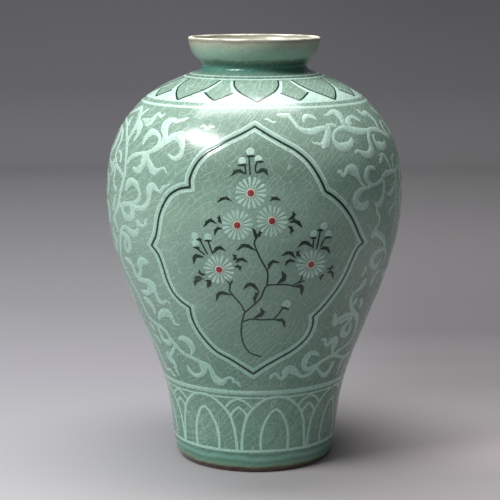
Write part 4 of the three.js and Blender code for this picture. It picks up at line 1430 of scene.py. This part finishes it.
# The white scroll beside the medallion, read off the photograph as (pixel across, pixel down, width
# in millimetres), one list for each stroke
LEFT_SCROLL = [
    [(129.5, 114, 1.2), (133, 111.5, 1.8), (137.5, 109, 2.2), (142, 106.5, 2.6)],
    [(149.8, 108.6, 1.2), (145, 111.5, 2.2), (141.5, 114.5, 2.6), (139, 118, 3)],
    [(142, 106.5, 2.4), (140.5, 112, 3), (139, 118, 3.2), (137.5, 123, 4.5)],
    [(133.5, 115.5, 1.2), (130.5, 119, 2.2), (128.8, 122, 3.4), (128.3, 126, 2)],
    [(126.3, 117, 1.2), (126.7, 122, 1.6), (126.8, 130, 1.8), (127, 141, 2)],
    [(127, 145, 2.2), (127.8, 140, 2.2), (131, 134.5, 2.6), (134.5, 128.5, 3.4), (137.3, 124.5, 5),
     (139.8, 127, 4.4), (139, 132, 3), (136.5, 136.5, 2.2), (133.6, 141, 1.4)],
    [(127.2, 139, 2), (126.8, 148, 2.2), (126.2, 155, 2.2), (125.7, 162, 2.2), (125.3, 169, 2.3),
     (124.4, 175.5, 2.6), (122.5, 183.5, 2.4), (120.7, 191, 2.2), (119.4, 199, 2.2),
     (118.5, 204.5, 2.6), (116.2, 211, 2.2), (114.5, 216.5, 2), (113.7, 221, 1.8)],
    [(127.5, 163.6, 2.2), (129.4, 159, 2.2), (134.4, 155, 2.3), (139.8, 153.6, 2.4), (147, 152.7, 2.6),
     (152.5, 150.5, 2.8), (157, 147.7, 4), (161.6, 144.5, 4.2), (164.4, 140, 3.8), (165.3, 133.6, 3.6),
     (164.8, 128.2, 5), (166.5, 123.6, 5.2), (169.8, 121, 4.2), (174.4, 120, 3), (178, 121.4, 2.6),
     (180.7, 119.7, 1.7), (183.5, 119.9, 1.7), (185.7, 118.6, 1.5), (188.9, 117.5, 1)],
    [(156.5, 147.5, 2.4), (159.3, 142, 1.8), (159.8, 138, 2), (158, 134.5, 3), (154.4, 132.2, 4.2),
     (150.7, 132.6, 4.4), (147.5, 135.5, 3.4), (144.5, 140, 2.4), (143, 144.5, 1.4)],
    [(142.5, 118.5, 1.2), (145.5, 120, 3), (149.3, 122, 5.4), (152.5, 119.5, 4), (155.5, 116, 2.4),
     (158.5, 113.5, 2), (160.2, 115.5, 1.8), (161.5, 116.5, 1.8), (163.5, 115, 1.5), (165.5, 114, 1)],
    [(162.5, 144.5, 2.6), (168, 140.5, 3.6), (172, 137.3, 5), (176.5, 136, 5.6), (180, 138.5, 5.8),
     (181.8, 143, 4.6), (182.2, 148, 3.2), (181.6, 152.5, 3), (179.5, 156.3, 3.4), (176, 158.5, 3.4),
     (172, 157.5, 2.6), (168, 154, 1.4)],
    [(176, 134.5, 3), (180.5, 133, 3), (184.5, 133.8, 2.4), (188, 137, 1.4)],
    [(200.9, 127.1, 1), (203.8, 125.2, 1.6), (207.6, 129, 1.6), (211.4, 126.2, 1.6), (214.3, 127.1, 1)],
    [(147, 153, 2.2), (144.5, 156, 3), (143.5, 160, 3.4), (142.3, 165, 3.8), (139.5, 169, 4.4),
     (136, 170, 4), (132.5, 167.5, 1.6)],
    [(147.5, 153.5, 2), (148, 159.5, 2.6), (150.3, 165.5, 4.2), (153.6, 171, 5.4), (157.3, 170.6, 3),
     (160.5, 168.7, 1.8), (164, 167.8, 1.6), (165.3, 170.5, 1.4), (167, 173.5, 0.9)],
    [(119, 205.5, 2.4), (124, 204, 3.4), (130, 203.5, 3), (134.5, 202.5, 2.6), (138, 200, 2.2),
     (139.8, 194.5, 1.8), (138.5, 189, 2.2), (136, 184, 3.4), (132.5, 181.3, 5), (129, 182.3, 4.6),
     (126.9, 185.8, 3.2), (126, 191, 1.4)],
    [(128.5, 204, 2.6), (134.5, 207.3, 3.6), (139, 208.3, 3.8), (143.5, 207.3, 3.6), (147, 203.6, 3),
     (149, 198, 2.8), (149, 192.5, 3.8), (150, 187.7, 5.6), (152.7, 185.6, 5), (155.3, 188, 3.4),
     (157.5, 190.3, 2), (160, 191.8, 2.4), (162, 189.5, 2.6), (163.8, 187, 2.2), (167, 185.8, 1.8),
     (170, 184, 1)],
    [(130.5, 205.5, 2), (132.6, 210, 3), (132.3, 215, 4), (129, 218, 4.6), (125, 216, 3.4),
     (122.7, 211, 2.6), (121.7, 206, 2)],
    [(135.5, 220.5, 1.4), (138, 222, 2), (140.5, 225, 2), (143.5, 226, 2), (145.5, 223.5, 1.8),
     (146, 220.5, 1.6), (147.2, 218.5, 1.1)],
    [(137.5, 222.5, 1.5), (137.7, 227, 1)],
    [(120.5, 234, 1.6), (121.8, 229, 2.2), (124.5, 226.7, 2.4), (128, 229.5, 3), (131, 232.5, 4.2),
     (134.3, 234, 6), (137, 231.5, 3.4), (138.7, 228.5, 1.4)],
    [(121, 233, 1.8), (124.7, 235, 3.4), (128, 238.5, 4), (129.7, 243, 3), (129.7, 248, 2.6),
     (127.5, 253, 1.4)],
    [(125.8, 239, 1.6), (125.3, 245, 1.8), (126.6, 251.5, 1.4)],
    [(122.5, 128, 1.4), (122.3, 134, 2.4), (121.2, 140, 2), (118.5, 146, 1.6), (116.5, 151, 1.6),
     (115.7, 157, 1.6), (116.3, 163, 2.4)],
    [(118.8, 150.5, 1.2), (120.8, 153, 1.6), (121, 158, 1.6), (120, 162.5, 1.1)],
    [(116.4, 163.5, 2.6), (113.9, 168, 2), (111.6, 172, 1.8), (110.6, 176, 1.2)],
    [(116.2, 164.5, 2.6), (119, 169, 2), (121.5, 173, 2), (123.4, 178, 2)],
    [(115.7, 167.5, 1.8), (114.2, 175, 1.8), (113.7, 182, 1.8), (114.8, 187.5, 2.6), (117, 189, 2.2)],
    [(115.3, 194, 1.4), (114.8, 199, 1.8), (113.6, 206, 2.6), (113.3, 211, 1.4)],
    [(114.6, 216, 1.8), (115.8, 223, 1.8), (117.4, 228, 1.8), (118.5, 232, 1.2)],
    [(114.5, 233, 1.2), (116, 238, 1.8), (118.2, 243, 1.2)],
    [(121.8, 228.5, 2), (120.6, 236, 2), (120.5, 243, 2), (120.7, 250, 2), (121.6, 257, 2),
     (123.3, 263.5, 2), (125.6, 269, 2), (128.6, 275, 2), (131.2, 281, 2), (135.1, 287.5, 2),
     (138.4, 294, 2.2), (142.5, 303.5, 2.2), (145.9, 311, 2.2), (149.3, 317, 2.4), (153.8, 321.5, 2.4),
     (158.2, 325, 2.4), (162.6, 328.3, 2.6), (167, 332.8, 2.6), (170.4, 338.3, 2.4),
     (174.8, 343.9, 2.4), (180.3, 350.4, 2.4), (185.8, 354.8, 2.4), (191.3, 357.2, 2.4),
     (197, 360.4, 2.4), (201.5, 362.5, 2.4), (205.5, 364, 2.6), (209, 366.3, 2.6), (211.3, 370.6, 2.8),
     (213.8, 375.8, 3.8), (217, 380, 5.6), (220.5, 382, 5.8), (224.5, 381, 4), (227, 378.3, 2.2),
     (230.2, 377.8, 2), (233.4, 379.4, 2), (233.2, 382, 1.8), (236.9, 382, 1.8), (239, 385, 1.6),
     (241.3, 387.2, 1)],
    [(199, 361.5, 2), (203, 366, 5), (204, 370.8, 4), (201.5, 374.5, 3.4), (197, 375.7, 2.8),
     (191.5, 372.5, 2.2), (188.7, 368.5, 2), (187.6, 365.3, 1.2)],
    [(178.3, 339.7, 1.4), (182.5, 338.8, 4), (187, 340.5, 4.6), (190.5, 344, 4.4), (192.6, 348.3, 3.6),
     (192.4, 352, 2.4), (190.8, 354.7, 1.2)],
    [(157.5, 325, 1.8), (160.5, 333, 2), (164, 340, 2.8), (168, 342.7, 3.8), (171, 340.6, 2.6),
     (170.2, 337, 2)],
    [(159.3, 320, 1.4), (160.3, 315.5, 4), (164.3, 313, 6.2), (168.5, 313.5, 5), (171.3, 317, 2.8),
     (173.5, 321, 1.8), (175.8, 324.5, 1.5), (180, 325, 1)],
    [(137.5, 278.5, 3), (141.5, 280, 3), (146, 281, 3), (150.5, 282, 2.6), (154, 285, 2.2),
     (155.3, 291, 2), (157.5, 297.5, 2.4), (160.5, 302, 3), (164, 302.7, 2.8), (166, 300.5, 1.4)],
    [(165.5, 301, 1.1), (168.5, 302, 1), (170.5, 304, 0.8)],
    [(145, 281, 2.6), (149.2, 284.3, 4), (151, 288.5, 4.6), (149, 292, 4.6), (145, 292.7, 3.4),
     (141.5, 290, 1.8)],
    [(148.7, 263, 1.4), (145, 261.5, 4.2), (141.2, 261, 6), (139.8, 265, 4), (140.5, 270, 2.4),
     (139.8, 275, 2.2), (137.8, 279, 2.6)],
    [(125, 258, 1.4), (129, 260.8, 3.2), (132.3, 265, 2.8), (134.5, 270.5, 2.2), (137, 277.5, 2.4)],
    [(143.7, 297.5, 1.4), (147, 300, 3.8), (151, 304, 3.8), (154, 309, 2.4), (155, 314, 1.4)],
    [(149.5, 321, 1.2), (152.2, 325.5, 2.2), (155.5, 330.5, 1.2)],
    [(147.5, 330.5, 1.4), (151.8, 337, 1.8), (156.9, 345.5, 2), (160.3, 352.8, 2), (163.8, 362, 2),
     (167.3, 368.6, 2), (171.3, 370.5, 1.8), (173.5, 374.5, 1.6), (176, 376, 1.1)],
    [(154.5, 334, 1.2), (158, 338, 2.2), (161.5, 343.5, 1.2)],
    [(168, 350.5, 1.4), (168.7, 355, 4.4), (171, 359.5, 4.4), (174.3, 362.5, 3.2), (176, 368, 2),
     (177.5, 372, 1.6), (179.5, 375.5, 1)],
    [(175.5, 345, 1.8), (173.5, 350, 2), (171, 355, 2.4)],
]
RIGHT_SCROLL = [
    [(316.5, 119.5, 1.2), (311.5, 116.2, 2.4), (307, 115.8, 3), (303.8, 118.3, 2.8),
     (303.8, 122.5, 2.4)],
    [(277.1, 115.7, 1.2), (280, 114.7, 2.4), (283.8, 115.7, 3), (287.6, 115.1, 2.8), (290.4, 117.6, 2.4),
     (294.2, 122.4, 2.4), (298, 127.1, 2.6), (303, 130, 3.4), (307.5, 131.2, 4.2), (312, 131.3, 4.8),
     (316, 130.3, 4.8), (320.5, 128.5, 4), (325.5, 127.8, 3.4), (330, 127.5, 3.6)],
    [(264.7, 119.9, 0.9), (266.6, 118.9, 1.2), (270, 121, 1.2), (273.3, 122.4, 1.3), (276.1, 121.4, 0.9)],
    [(325.5, 126, 1.6), (328, 124.8, 1.8), (334.5, 125.2, 1.8), (336, 127, 1.4)],
    [(333, 136, 1.8), (335, 131.5, 2), (340, 128, 2.8), (345, 127.7, 3.2), (349, 128.7, 3.6),
     (355, 130.5, 4.2), (361, 131.2, 4.2), (367, 130.8, 3.6), (371.5, 129, 2.8), (376, 129.5, 2.8),
     (380, 131, 2.4), (385, 134, 2.4), (389.5, 137.5, 1.8)],
    [(323.5, 114.5, 1), (325.5, 115.2, 1.6), (328.5, 113.7, 2), (332, 112.2, 3.2), (336, 112.7, 4.6),
     (339.5, 115.7, 4.2), (341.7, 119.5, 3), (343.2, 124, 2.2), (346.5, 127.5, 2)],
    [(349.8, 126, 1.8), (348.6, 122.5, 4.8), (348.4, 119.2, 3.6), (350.7, 116.7, 2.4), (354, 117.2, 2),
     (357, 119, 1.8), (360, 120.8, 1.1)],
    [(356, 109.5, 1), (359, 111, 1.6), (361, 113.3, 1.8), (364, 113.8, 2.8), (366.5, 112.8, 3.2),
     (369, 115, 3), (372, 117.7, 2.2), (374.7, 120.7, 2), (376.9, 125, 1.8), (379, 129.5, 1.8)],
    [(370, 106.5, 1.4), (374.2, 110.5, 2), (378, 114.5, 1.4)],
    [(380, 120, 1.2), (381.5, 125, 1.8), (385, 131, 1.8), (389, 136.5, 1.8)],
    [(381.5, 119.5, 1.2), (385.2, 124.8, 1.6), (388.5, 130.3, 1.8), (389.8, 134.5, 1.4)],
    [(330, 127.5, 3), (328.3, 132.5, 4.8), (327.2, 138.3, 5.4), (325, 144, 6), (322.8, 148.8, 2.4)],
    [(324.5, 143, 2.6), (320.5, 144.5, 2.2), (317, 143.2, 1.8), (314.5, 143.3, 1.6), (312, 141.5, 0.9)],
    [(333.3, 134, 2), (333.8, 139.5, 2.2), (336.9, 144.3, 3.8), (341, 146.8, 6.2), (345.6, 147, 7.4),
     (349.9, 144.8, 6), (351.8, 141.2, 3.8), (351.5, 137.2, 1.3)],
    [(368.5, 131.5, 2.4), (369, 139.5, 2.4), (370.6, 144.5, 3), (371.4, 149.8, 4), (369.9, 153.6, 5.2),
     (367, 155, 5.4), (363.4, 153.6, 3.4), (360, 151.7, 2.2), (357.5, 150.9, 2.6), (355, 153.5, 1.6)],
    [(373, 134, 1.8), (374.5, 140.7, 2), (377.6, 144.7, 3.8), (381, 146.2, 5.4), (383.8, 145.7, 4),
     (384.8, 142.7, 2.4), (383.5, 139.5, 1.1)],
    [(379, 155.5, 1.2), (382.5, 154.3, 2), (385, 156.8, 2), (387.5, 161, 2), (389.5, 166, 2),
     (391.3, 171, 2)],
    [(381.8, 156, 1.6), (381, 160, 2.4), (379.3, 163.5, 1.4)],
    [(393, 153.5, 1.4), (391.9, 159, 1.8), (392.8, 165, 1.8), (393.5, 170.5, 1.6)],
    [(397.2, 157, 1.2), (397.2, 165, 1.4), (395, 170.5, 1.6), (390.5, 172, 2.6), (387, 174.5, 2.2)],
    [(337.5, 173, 1.2), (340, 171.7, 3.2), (342, 174.5, 2.2), (343.3, 176.4, 2), (345.7, 173.2, 3.2),
     (348.3, 170, 6), (351.5, 169.4, 8.4), (354.6, 171.4, 6.8), (357, 174.8, 4), (359, 178.3, 2.2),
     (360.5, 182, 1.8), (363, 185.3, 1.6), (366, 187.3, 1.6), (370, 188, 1.4)],
    [(375.5, 170, 1.1), (373.5, 167.9, 2.4), (370, 168, 3.6), (367.2, 171, 3.8), (366.3, 176, 3.6),
     (367.7, 181.3, 2.8), (371, 184.3, 2.4), (375, 184.5, 2.2), (378, 184, 2)],
    [(368.5, 200.5, 1.4), (366.5, 204.3, 3.6), (363, 206.6, 5.4), (359.3, 206.4, 6),
     (356.5, 203.4, 5), (355.4, 199.8, 4.2), (356.7, 195.5, 4), (360, 191.3, 3.8), (365, 188.2, 2.8),
     (371, 186, 2.2), (376.5, 184, 2.2), (381, 180, 2.2), (383.5, 175.5, 2.6), (387, 172.3, 2.8),
     (391, 171.3, 2.8)],
    [(383, 178, 2.4), (384, 186, 2.2), (383.5, 193, 2.4), (382, 199.5, 3.2), (379.5, 203.8, 3.4),
     (376.7, 204.6, 3), (374.7, 202.5, 1.6)],
    [(376.8, 205.5, 1.8), (377, 212, 1.6), (379.3, 216, 1.6), (379.2, 221, 1.6), (377.3, 226, 1.6),
     (374, 230, 2.4)],
    [(394, 180, 1.4), (393.3, 187, 2), (391.3, 192, 3), (388.5, 194.3, 2.4), (386.7, 192, 1.4)],
    [(395, 171.5, 1.8), (396, 185, 1.8), (395.8, 195, 1.8), (394.8, 202, 1.8), (392, 206.5, 1.8),
     (389.5, 211.5, 1.8), (388.5, 216, 1.2)],
    [(396, 200, 1.4), (395.4, 212, 1.6), (394, 222, 1.8), (392, 231, 1.8), (389.5, 238, 1.2)],
    [(372.5, 238.5, 2.2), (374, 232, 3.8), (378.3, 233.8, 4.4), (382, 236.7, 3.2), (384.3, 241, 2.4),
     (384.8, 247.5, 2)],
    [(384.5, 248.5, 2), (380, 249.3, 2.6), (376, 252.7, 3.2), (372.8, 257.5, 3.8), (371.5, 262.5, 3.6),
     (373.2, 266.3, 3.4), (376.4, 266, 3), (379, 262.5, 2), (379.8, 258, 1.3)],
    [(385, 248, 2), (385.5, 255, 1.8), (383.3, 261, 1.8), (380.5, 266.5, 1.4)],
    [(380, 270, 1.3), (376.5, 272.5, 2.2), (373.7, 276.5, 2.6), (371.5, 281.7, 3), (370.3, 287, 1.3)],
    [(365, 266, 1.1), (365.3, 270, 1.7), (362.7, 273.7, 1.7), (361, 277, 1.2)],
    [(366, 277.3, 2.2), (364.5, 281.3, 3.8), (362, 285.5, 3.6), (358.5, 289.3, 2.2),
     (354.5, 292.5, 1.8), (351.5, 296.7, 1.8), (350.7, 302.5, 2), (351.7, 308, 2.6), (353.7, 312.3, 3),
     (356.5, 316, 3), (357.5, 320, 2.6)],
    [(357.3, 297.5, 2.4), (355, 301, 2.6), (353.5, 305, 1.6)],
    [(361, 298, 1.8), (361.3, 303.5, 2.4), (359.5, 308, 1.4)],
    [(354, 313.7, 2), (349, 314.5, 2.2), (344, 316, 2.4), (339.5, 319, 3), (335.3, 322, 4.8),
     (331.7, 322.7, 1.8)],
    [(335, 313, 1.3), (335.2, 318, 2.2), (334.8, 322, 3)],
    [(352, 317, 1.6), (345, 319.7, 1.6), (339, 323.3, 1.8)],
    [(352.5, 317.5, 1.8), (347, 323.5, 2), (343.3, 328, 2.8), (342.3, 332.5, 3.6), (344.5, 335.3, 3.6),
     (347.7, 333, 3), (349.8, 328, 2), (351.8, 322, 1.4)],
    [(357.5, 319, 2.4), (355.7, 327, 2.2), (353.3, 334.5, 2), (350.3, 341, 2), (346.3, 344.5, 2),
     (342, 348, 2), (337.5, 351, 2), (333.5, 355.5, 2.2)],
    [(321, 341, 1.1), (323.7, 338.9, 2), (325.6, 341, 2.2), (325.4, 344.5, 2.2), (328.5, 344.3, 2.8),
     (331.5, 340.9, 3.6), (334.9, 338.6, 4.2), (335.2, 342.5, 4.4), (333.5, 347, 3), (332.3, 352, 2),
     (333.2, 356, 2)],
    [(319, 355.5, 1.3), (316, 353.3, 2.6), (312, 353, 3.2), (308.3, 355.3, 3.8), (305.8, 359, 4),
     (304.4, 363.7, 4), (304.2, 367.3, 3.4), (307, 369.3, 2.8), (312, 367.3, 2.4), (317, 364.5, 2.2),
     (323.5, 360, 2.2), (330, 356.5, 2.2), (336, 355.5, 2), (341, 357, 1.8), (346.5, 354.5, 1.4)],
    [(317, 365, 1.8), (312.5, 371, 2.2), (307.5, 374.7, 2.2), (301.5, 376.3, 2.2), (297.5, 374, 3.2),
     (294, 371, 5.4), (289.7, 370, 6.8), (286, 372, 5.6), (284.5, 376, 3), (281.5, 379, 2.4),
     (279, 377.5, 2), (277.5, 374.7, 2), (274, 374, 2), (271.5, 376.7, 2), (269.5, 379, 1.1)],
    [(316, 367, 1.8), (321, 373.3, 2.8), (325, 374.7, 3.2), (328.3, 371.3, 2.8), (331.3, 366, 2.2),
     (333.5, 361, 1.6)],
    [(349.5, 352, 1.2), (345.5, 355.7, 1.8), (341.5, 361, 1.8), (338.7, 368, 1.6), (336.5, 374, 1.2)],
]

# Scroll over the two sides, which the photograph doesn't show, as (degrees from the side, height, width)
SIDE_SCROLL = [
    [(-8, 236, 2.4), (-3, 229, 2.6), (2, 219, 3), (0, 207, 3), (-5, 196, 2.8), (-3, 184, 3), (3, 173, 3),
     (5, 161, 2.8), (1, 149, 3), (-5, 139, 3), (-3, 126, 2.8), (3, 115, 3), (4, 103, 2.8), (-1, 92, 2.6),
     (-4, 82, 2.4), (0, 72, 1.6)],
    [(2, 221, 3), (8, 221, 4.4), (13, 226, 6.2), (13, 233, 4.6), (8, 238, 3), (3, 237, 2), (1, 234, 1)],
    [(8, 221, 3), (12, 215, 3), (17, 213, 4.6), (20, 217, 2.6), (22, 215, 1)],
    [(0, 207, 3), (7, 206, 4.4), (13, 201, 6.4), (12, 194, 5), (7, 192, 2.8), (4, 196, 1.4)],
    [(-5, 196, 3), (-10, 197, 3), (-15, 193, 5.4), (-15, 186, 6), (-11, 181, 3.8), (-7, 183, 1.6)],
    [(-10, 197, 2.6), (-14, 203, 3), (-13, 209, 4.4), (-9, 212, 2.4), (-7, 216, 1)],
    [(3, 172, 3), (9, 172, 4.4), (14, 177, 6.2), (13, 184, 4.6), (8, 186, 2.6), (6, 183, 1.2)],
    [(5, 160, 2.8), (10, 154, 3.8), (15, 154, 6), (18, 160, 4), (16, 166, 2.2), (19, 170, 1)],
    [(-4, 142, 3), (-10, 143, 4.4), (-15, 149, 6), (-14, 157, 4.6), (-9, 160, 2.6), (-6, 157, 1.2)],
    [(-10, 143, 2.8), (-14, 137, 3.4), (-19, 137, 4.6), (-21, 142, 2)],
    [(-4, 124, 2.8), (-10, 121, 4.4), (-15, 114, 6), (-12, 107, 4.4), (-7, 106, 2.4), (-5, 110, 1.2)],
    [(3, 114, 3), (10, 114, 4.4), (16, 120, 6), (14, 128, 4.2), (9, 130, 2.2), (6, 127, 1.2)],
    [(4, 101, 2.8), (11, 98, 4), (17, 91, 5.6), (13, 85, 3.4), (8, 87, 1.6)],
    [(-3, 84, 2.4), (-10, 84, 3.8), (-16, 90, 5.4), (-12, 97, 3.4), (-7, 95, 1.6)],
]


def scroll(name, strokes, turn):
    slip = Slip()
    for k, stroke in enumerate(strokes):
        slip.stroke(np.array(stroke, float) + (turn, 0, 0), lift=LIFT + STROKE_RISE * k)
    slip.lay(name, WHITE)


lower_body()
upper_body()
neck_and_mouth()
lines_round_the_vase()
collar_ground()
collar_petals()
lotus_panels()
left_scroll = [traced(stroke) for stroke in LEFT_SCROLL]
right_scroll = [traced(stroke) for stroke in RIGHT_SCROLL]
for side, turn in (("front", 0), ("back", 180)):
    medallion(side, turn)
    scroll(f"{side}_scroll_left", left_scroll, turn)
    scroll(f"{side}_scroll_right", right_scroll, turn)
for side, turn in (("left", -90), ("right", 90)):
    scroll(f"{side}_scroll_side", SIDE_SCROLL, turn)


# The floor runs up into a backdrop on one sweep, in metres
FLOOR_FRONT = -2.2
SWEEP_START = 1.65
SWEEP_RADIUS = 0.45
SWEEP_POINTS = 24
BACKDROP_TOP = 1.6
FLOOR_WIDTH = 6.0
FLOOR_ROUGH = 0.9
FLOOR_SHEEN = 0.1

# Its shades follow how steeply the photograph's camera looks down on a place, from level to this slope
STEEPEST = 0.36
# Painted light and shade, darker towards the top of the backdrop
LEFT_PAINTED_SHADES = [
    (0.06, rgb(119, 117, 122)),
    (0.2, rgb(125, 123, 128)),
    (0.37, rgb(153, 152, 156)),
    (0.48, rgb(142, 142, 144)),
    (0.59, rgb(137, 136, 138)),
    (0.7, rgb(143, 141, 146)),
    (0.92, rgb(156, 155, 157)),
    (0.97, rgb(161, 159, 161)),
]
# Painted shade on the right, darker than the left, with a painted shadow from 0.59 to 0.65 and painted
# light from 0.76 to 0.88 that pales the vase's own shadow
RIGHT_PAINTED_SHADES = [
    (0.06, rgb(111, 109, 112)),
    (0.2, rgb(120, 118, 120)),
    (0.37, rgb(147, 145, 146)),
    (0.48, rgb(136, 133, 135)),
    (0.59, rgb(119, 117, 119)),
    (0.65, rgb(113, 111, 113)),
    (0.7, rgb(127, 124, 126)),
    (0.76, rgb(156, 152, 154)),
    (0.82, rgb(172, 166, 168)),
    (0.88, rgb(178, 170, 172)),
    (0.93, rgb(149, 144, 146)),
]

# The left side's shades turn into the right side's between these slopes sideways
LEFT_ENDS = -0.05
RIGHT_STARTS = 0.12

# The floor in front has a painted shade, one darker colour, which ends between these distances, in
# millimetres
FRONT_PAINTED_SHADE = rgb(112, 110, 114)
FRONT_DARK = -300
FRONT_PALE = -120


def floor():
    bend = np.radians(np.linspace(0, 90, SWEEP_POINTS))
    profile = [(FLOOR_FRONT, 0.0)]
    profile += [(SWEEP_START + SWEEP_RADIUS * math.sin(a), SWEEP_RADIUS * (1 - math.cos(a))) for a in bend]
    profile.append((SWEEP_START + SWEEP_RADIUS, BACKDROP_TOP))
    points = [(x * FLOOR_WIDTH / 2, y, z) for y, z in profile for x in (-1, 1)]
    faces = [(2 * i, 2 * i + 1, 2 * i + 3, 2 * i + 2) for i in range(len(profile) - 1)]
    mesh = smooth_mesh("floor", points, faces)
    shader = Shader("painted_light_floor")
    shader.feed(Roughness=FLOOR_ROUGH, Specular_IOR_Level=FLOOR_SHEEN)
    # The floor's colour carries painted light and shade, after how steeply the camera looks down on a
    # place and how far to the side it lies
    distance = shader.away + CAMERA_BACK
    steepness = (CAMERA_UP - shader.up) / distance / STEEPEST
    sideways = shader.remap(shader.across / distance, LEFT_ENDS, RIGHT_STARTS)
    left, right = (shader.ramp(steepness, shades) for shades in (LEFT_PAINTED_SHADES, RIGHT_PAINTED_SHADES))
    colour = shader.mix(sideways, left, right)
    # Painted shade on the floor in front
    front = shader.remap(shader.away, FRONT_DARK, FRONT_PALE)
    shader.feed(Base_Color=shader.mix(front, FRONT_PAINTED_SHADE, colour))
    mesh.materials.append(shader.material)
    thing = placed("floor", mesh)


def softbox(name, place, aim, size, power):
    """A soft lamp of a given width and height, aimed at a point."""
    lamp = bpy.data.lights.new(name, "AREA")
    lamp.shape = "ELLIPSE"
    lamp.size, lamp.size_y = size
    lamp.energy = power
    thing = placed(name, lamp)
    thing.location = place
    direction = np.array(aim, float) - np.array(place, float)
    flat = math.hypot(direction[0], direction[1])
    thing.rotation_euler = (math.atan2(flat, -direction[2]), 0, math.atan2(-direction[0], direction[1]))


# Light from all round, most of it from behind the camera on the left, and its colour
ROOM_LIGHT = 0.03
FRONT_LIGHT = 0.5
FRONT = (-0.48, -0.83, 0.28)
FRONT_FROM = -0.1
ROOM_COLOUR = rgb(230, 232, 236)


def world():
    """A dim room, lighter behind the camera and to its left."""
    room = bpy.data.worlds.new("room")
    bpy.context.scene.world = room
    room.use_nodes = True
    nodes = Nodes(room.node_tree)
    direction = nodes.node("ShaderNodeTexCoord", {}, "Generated")
    inputs = {0: direction, 1: FRONT}
    towards = nodes.node("ShaderNodeVectorMath", inputs, "Value", operation="DOT_PRODUCT")
    strength = nodes.remap(towards, FRONT_FROM, 1, ROOM_LIGHT, ROOM_LIGHT + FRONT_LIGHT)
    background = room.node_tree.nodes["Background"]
    nodes.plug(ROOM_COLOUR, background.inputs["Color"])
    nodes.plug(strength, background.inputs["Strength"])


SENSOR = 36


def camera():
    lens = bpy.data.cameras.new("camera")
    lens.sensor_width = SENSOR
    lens.lens = FOCAL_PX * SENSOR / PICTURE_PX
    lens.shift_x = (MIDDLE_PX - AXIS_PX) / PICTURE_PX
    thing = placed("camera", lens)
    thing.location = (0, -CAMERA_BACK * MM, CAMERA_UP * MM)
    thing.rotation_euler = (math.radians(90 - CAMERA_TILT), 0, 0)
    bpy.context.scene.camera = thing


floor()
softbox("softbox_above", place=(-0.08, 0.08, 1.35), aim=(-0.08, 0.08, 0), size=(1.18, 0.56), power=17)
softbox("softbox_left", place=(-0.79, -0.57, 1.25), aim=(0, 0, 0.22), size=(0.76, 0.23), power=22)
world()
camera()
bpy.context.scene.view_settings.view_transform = "Standard"
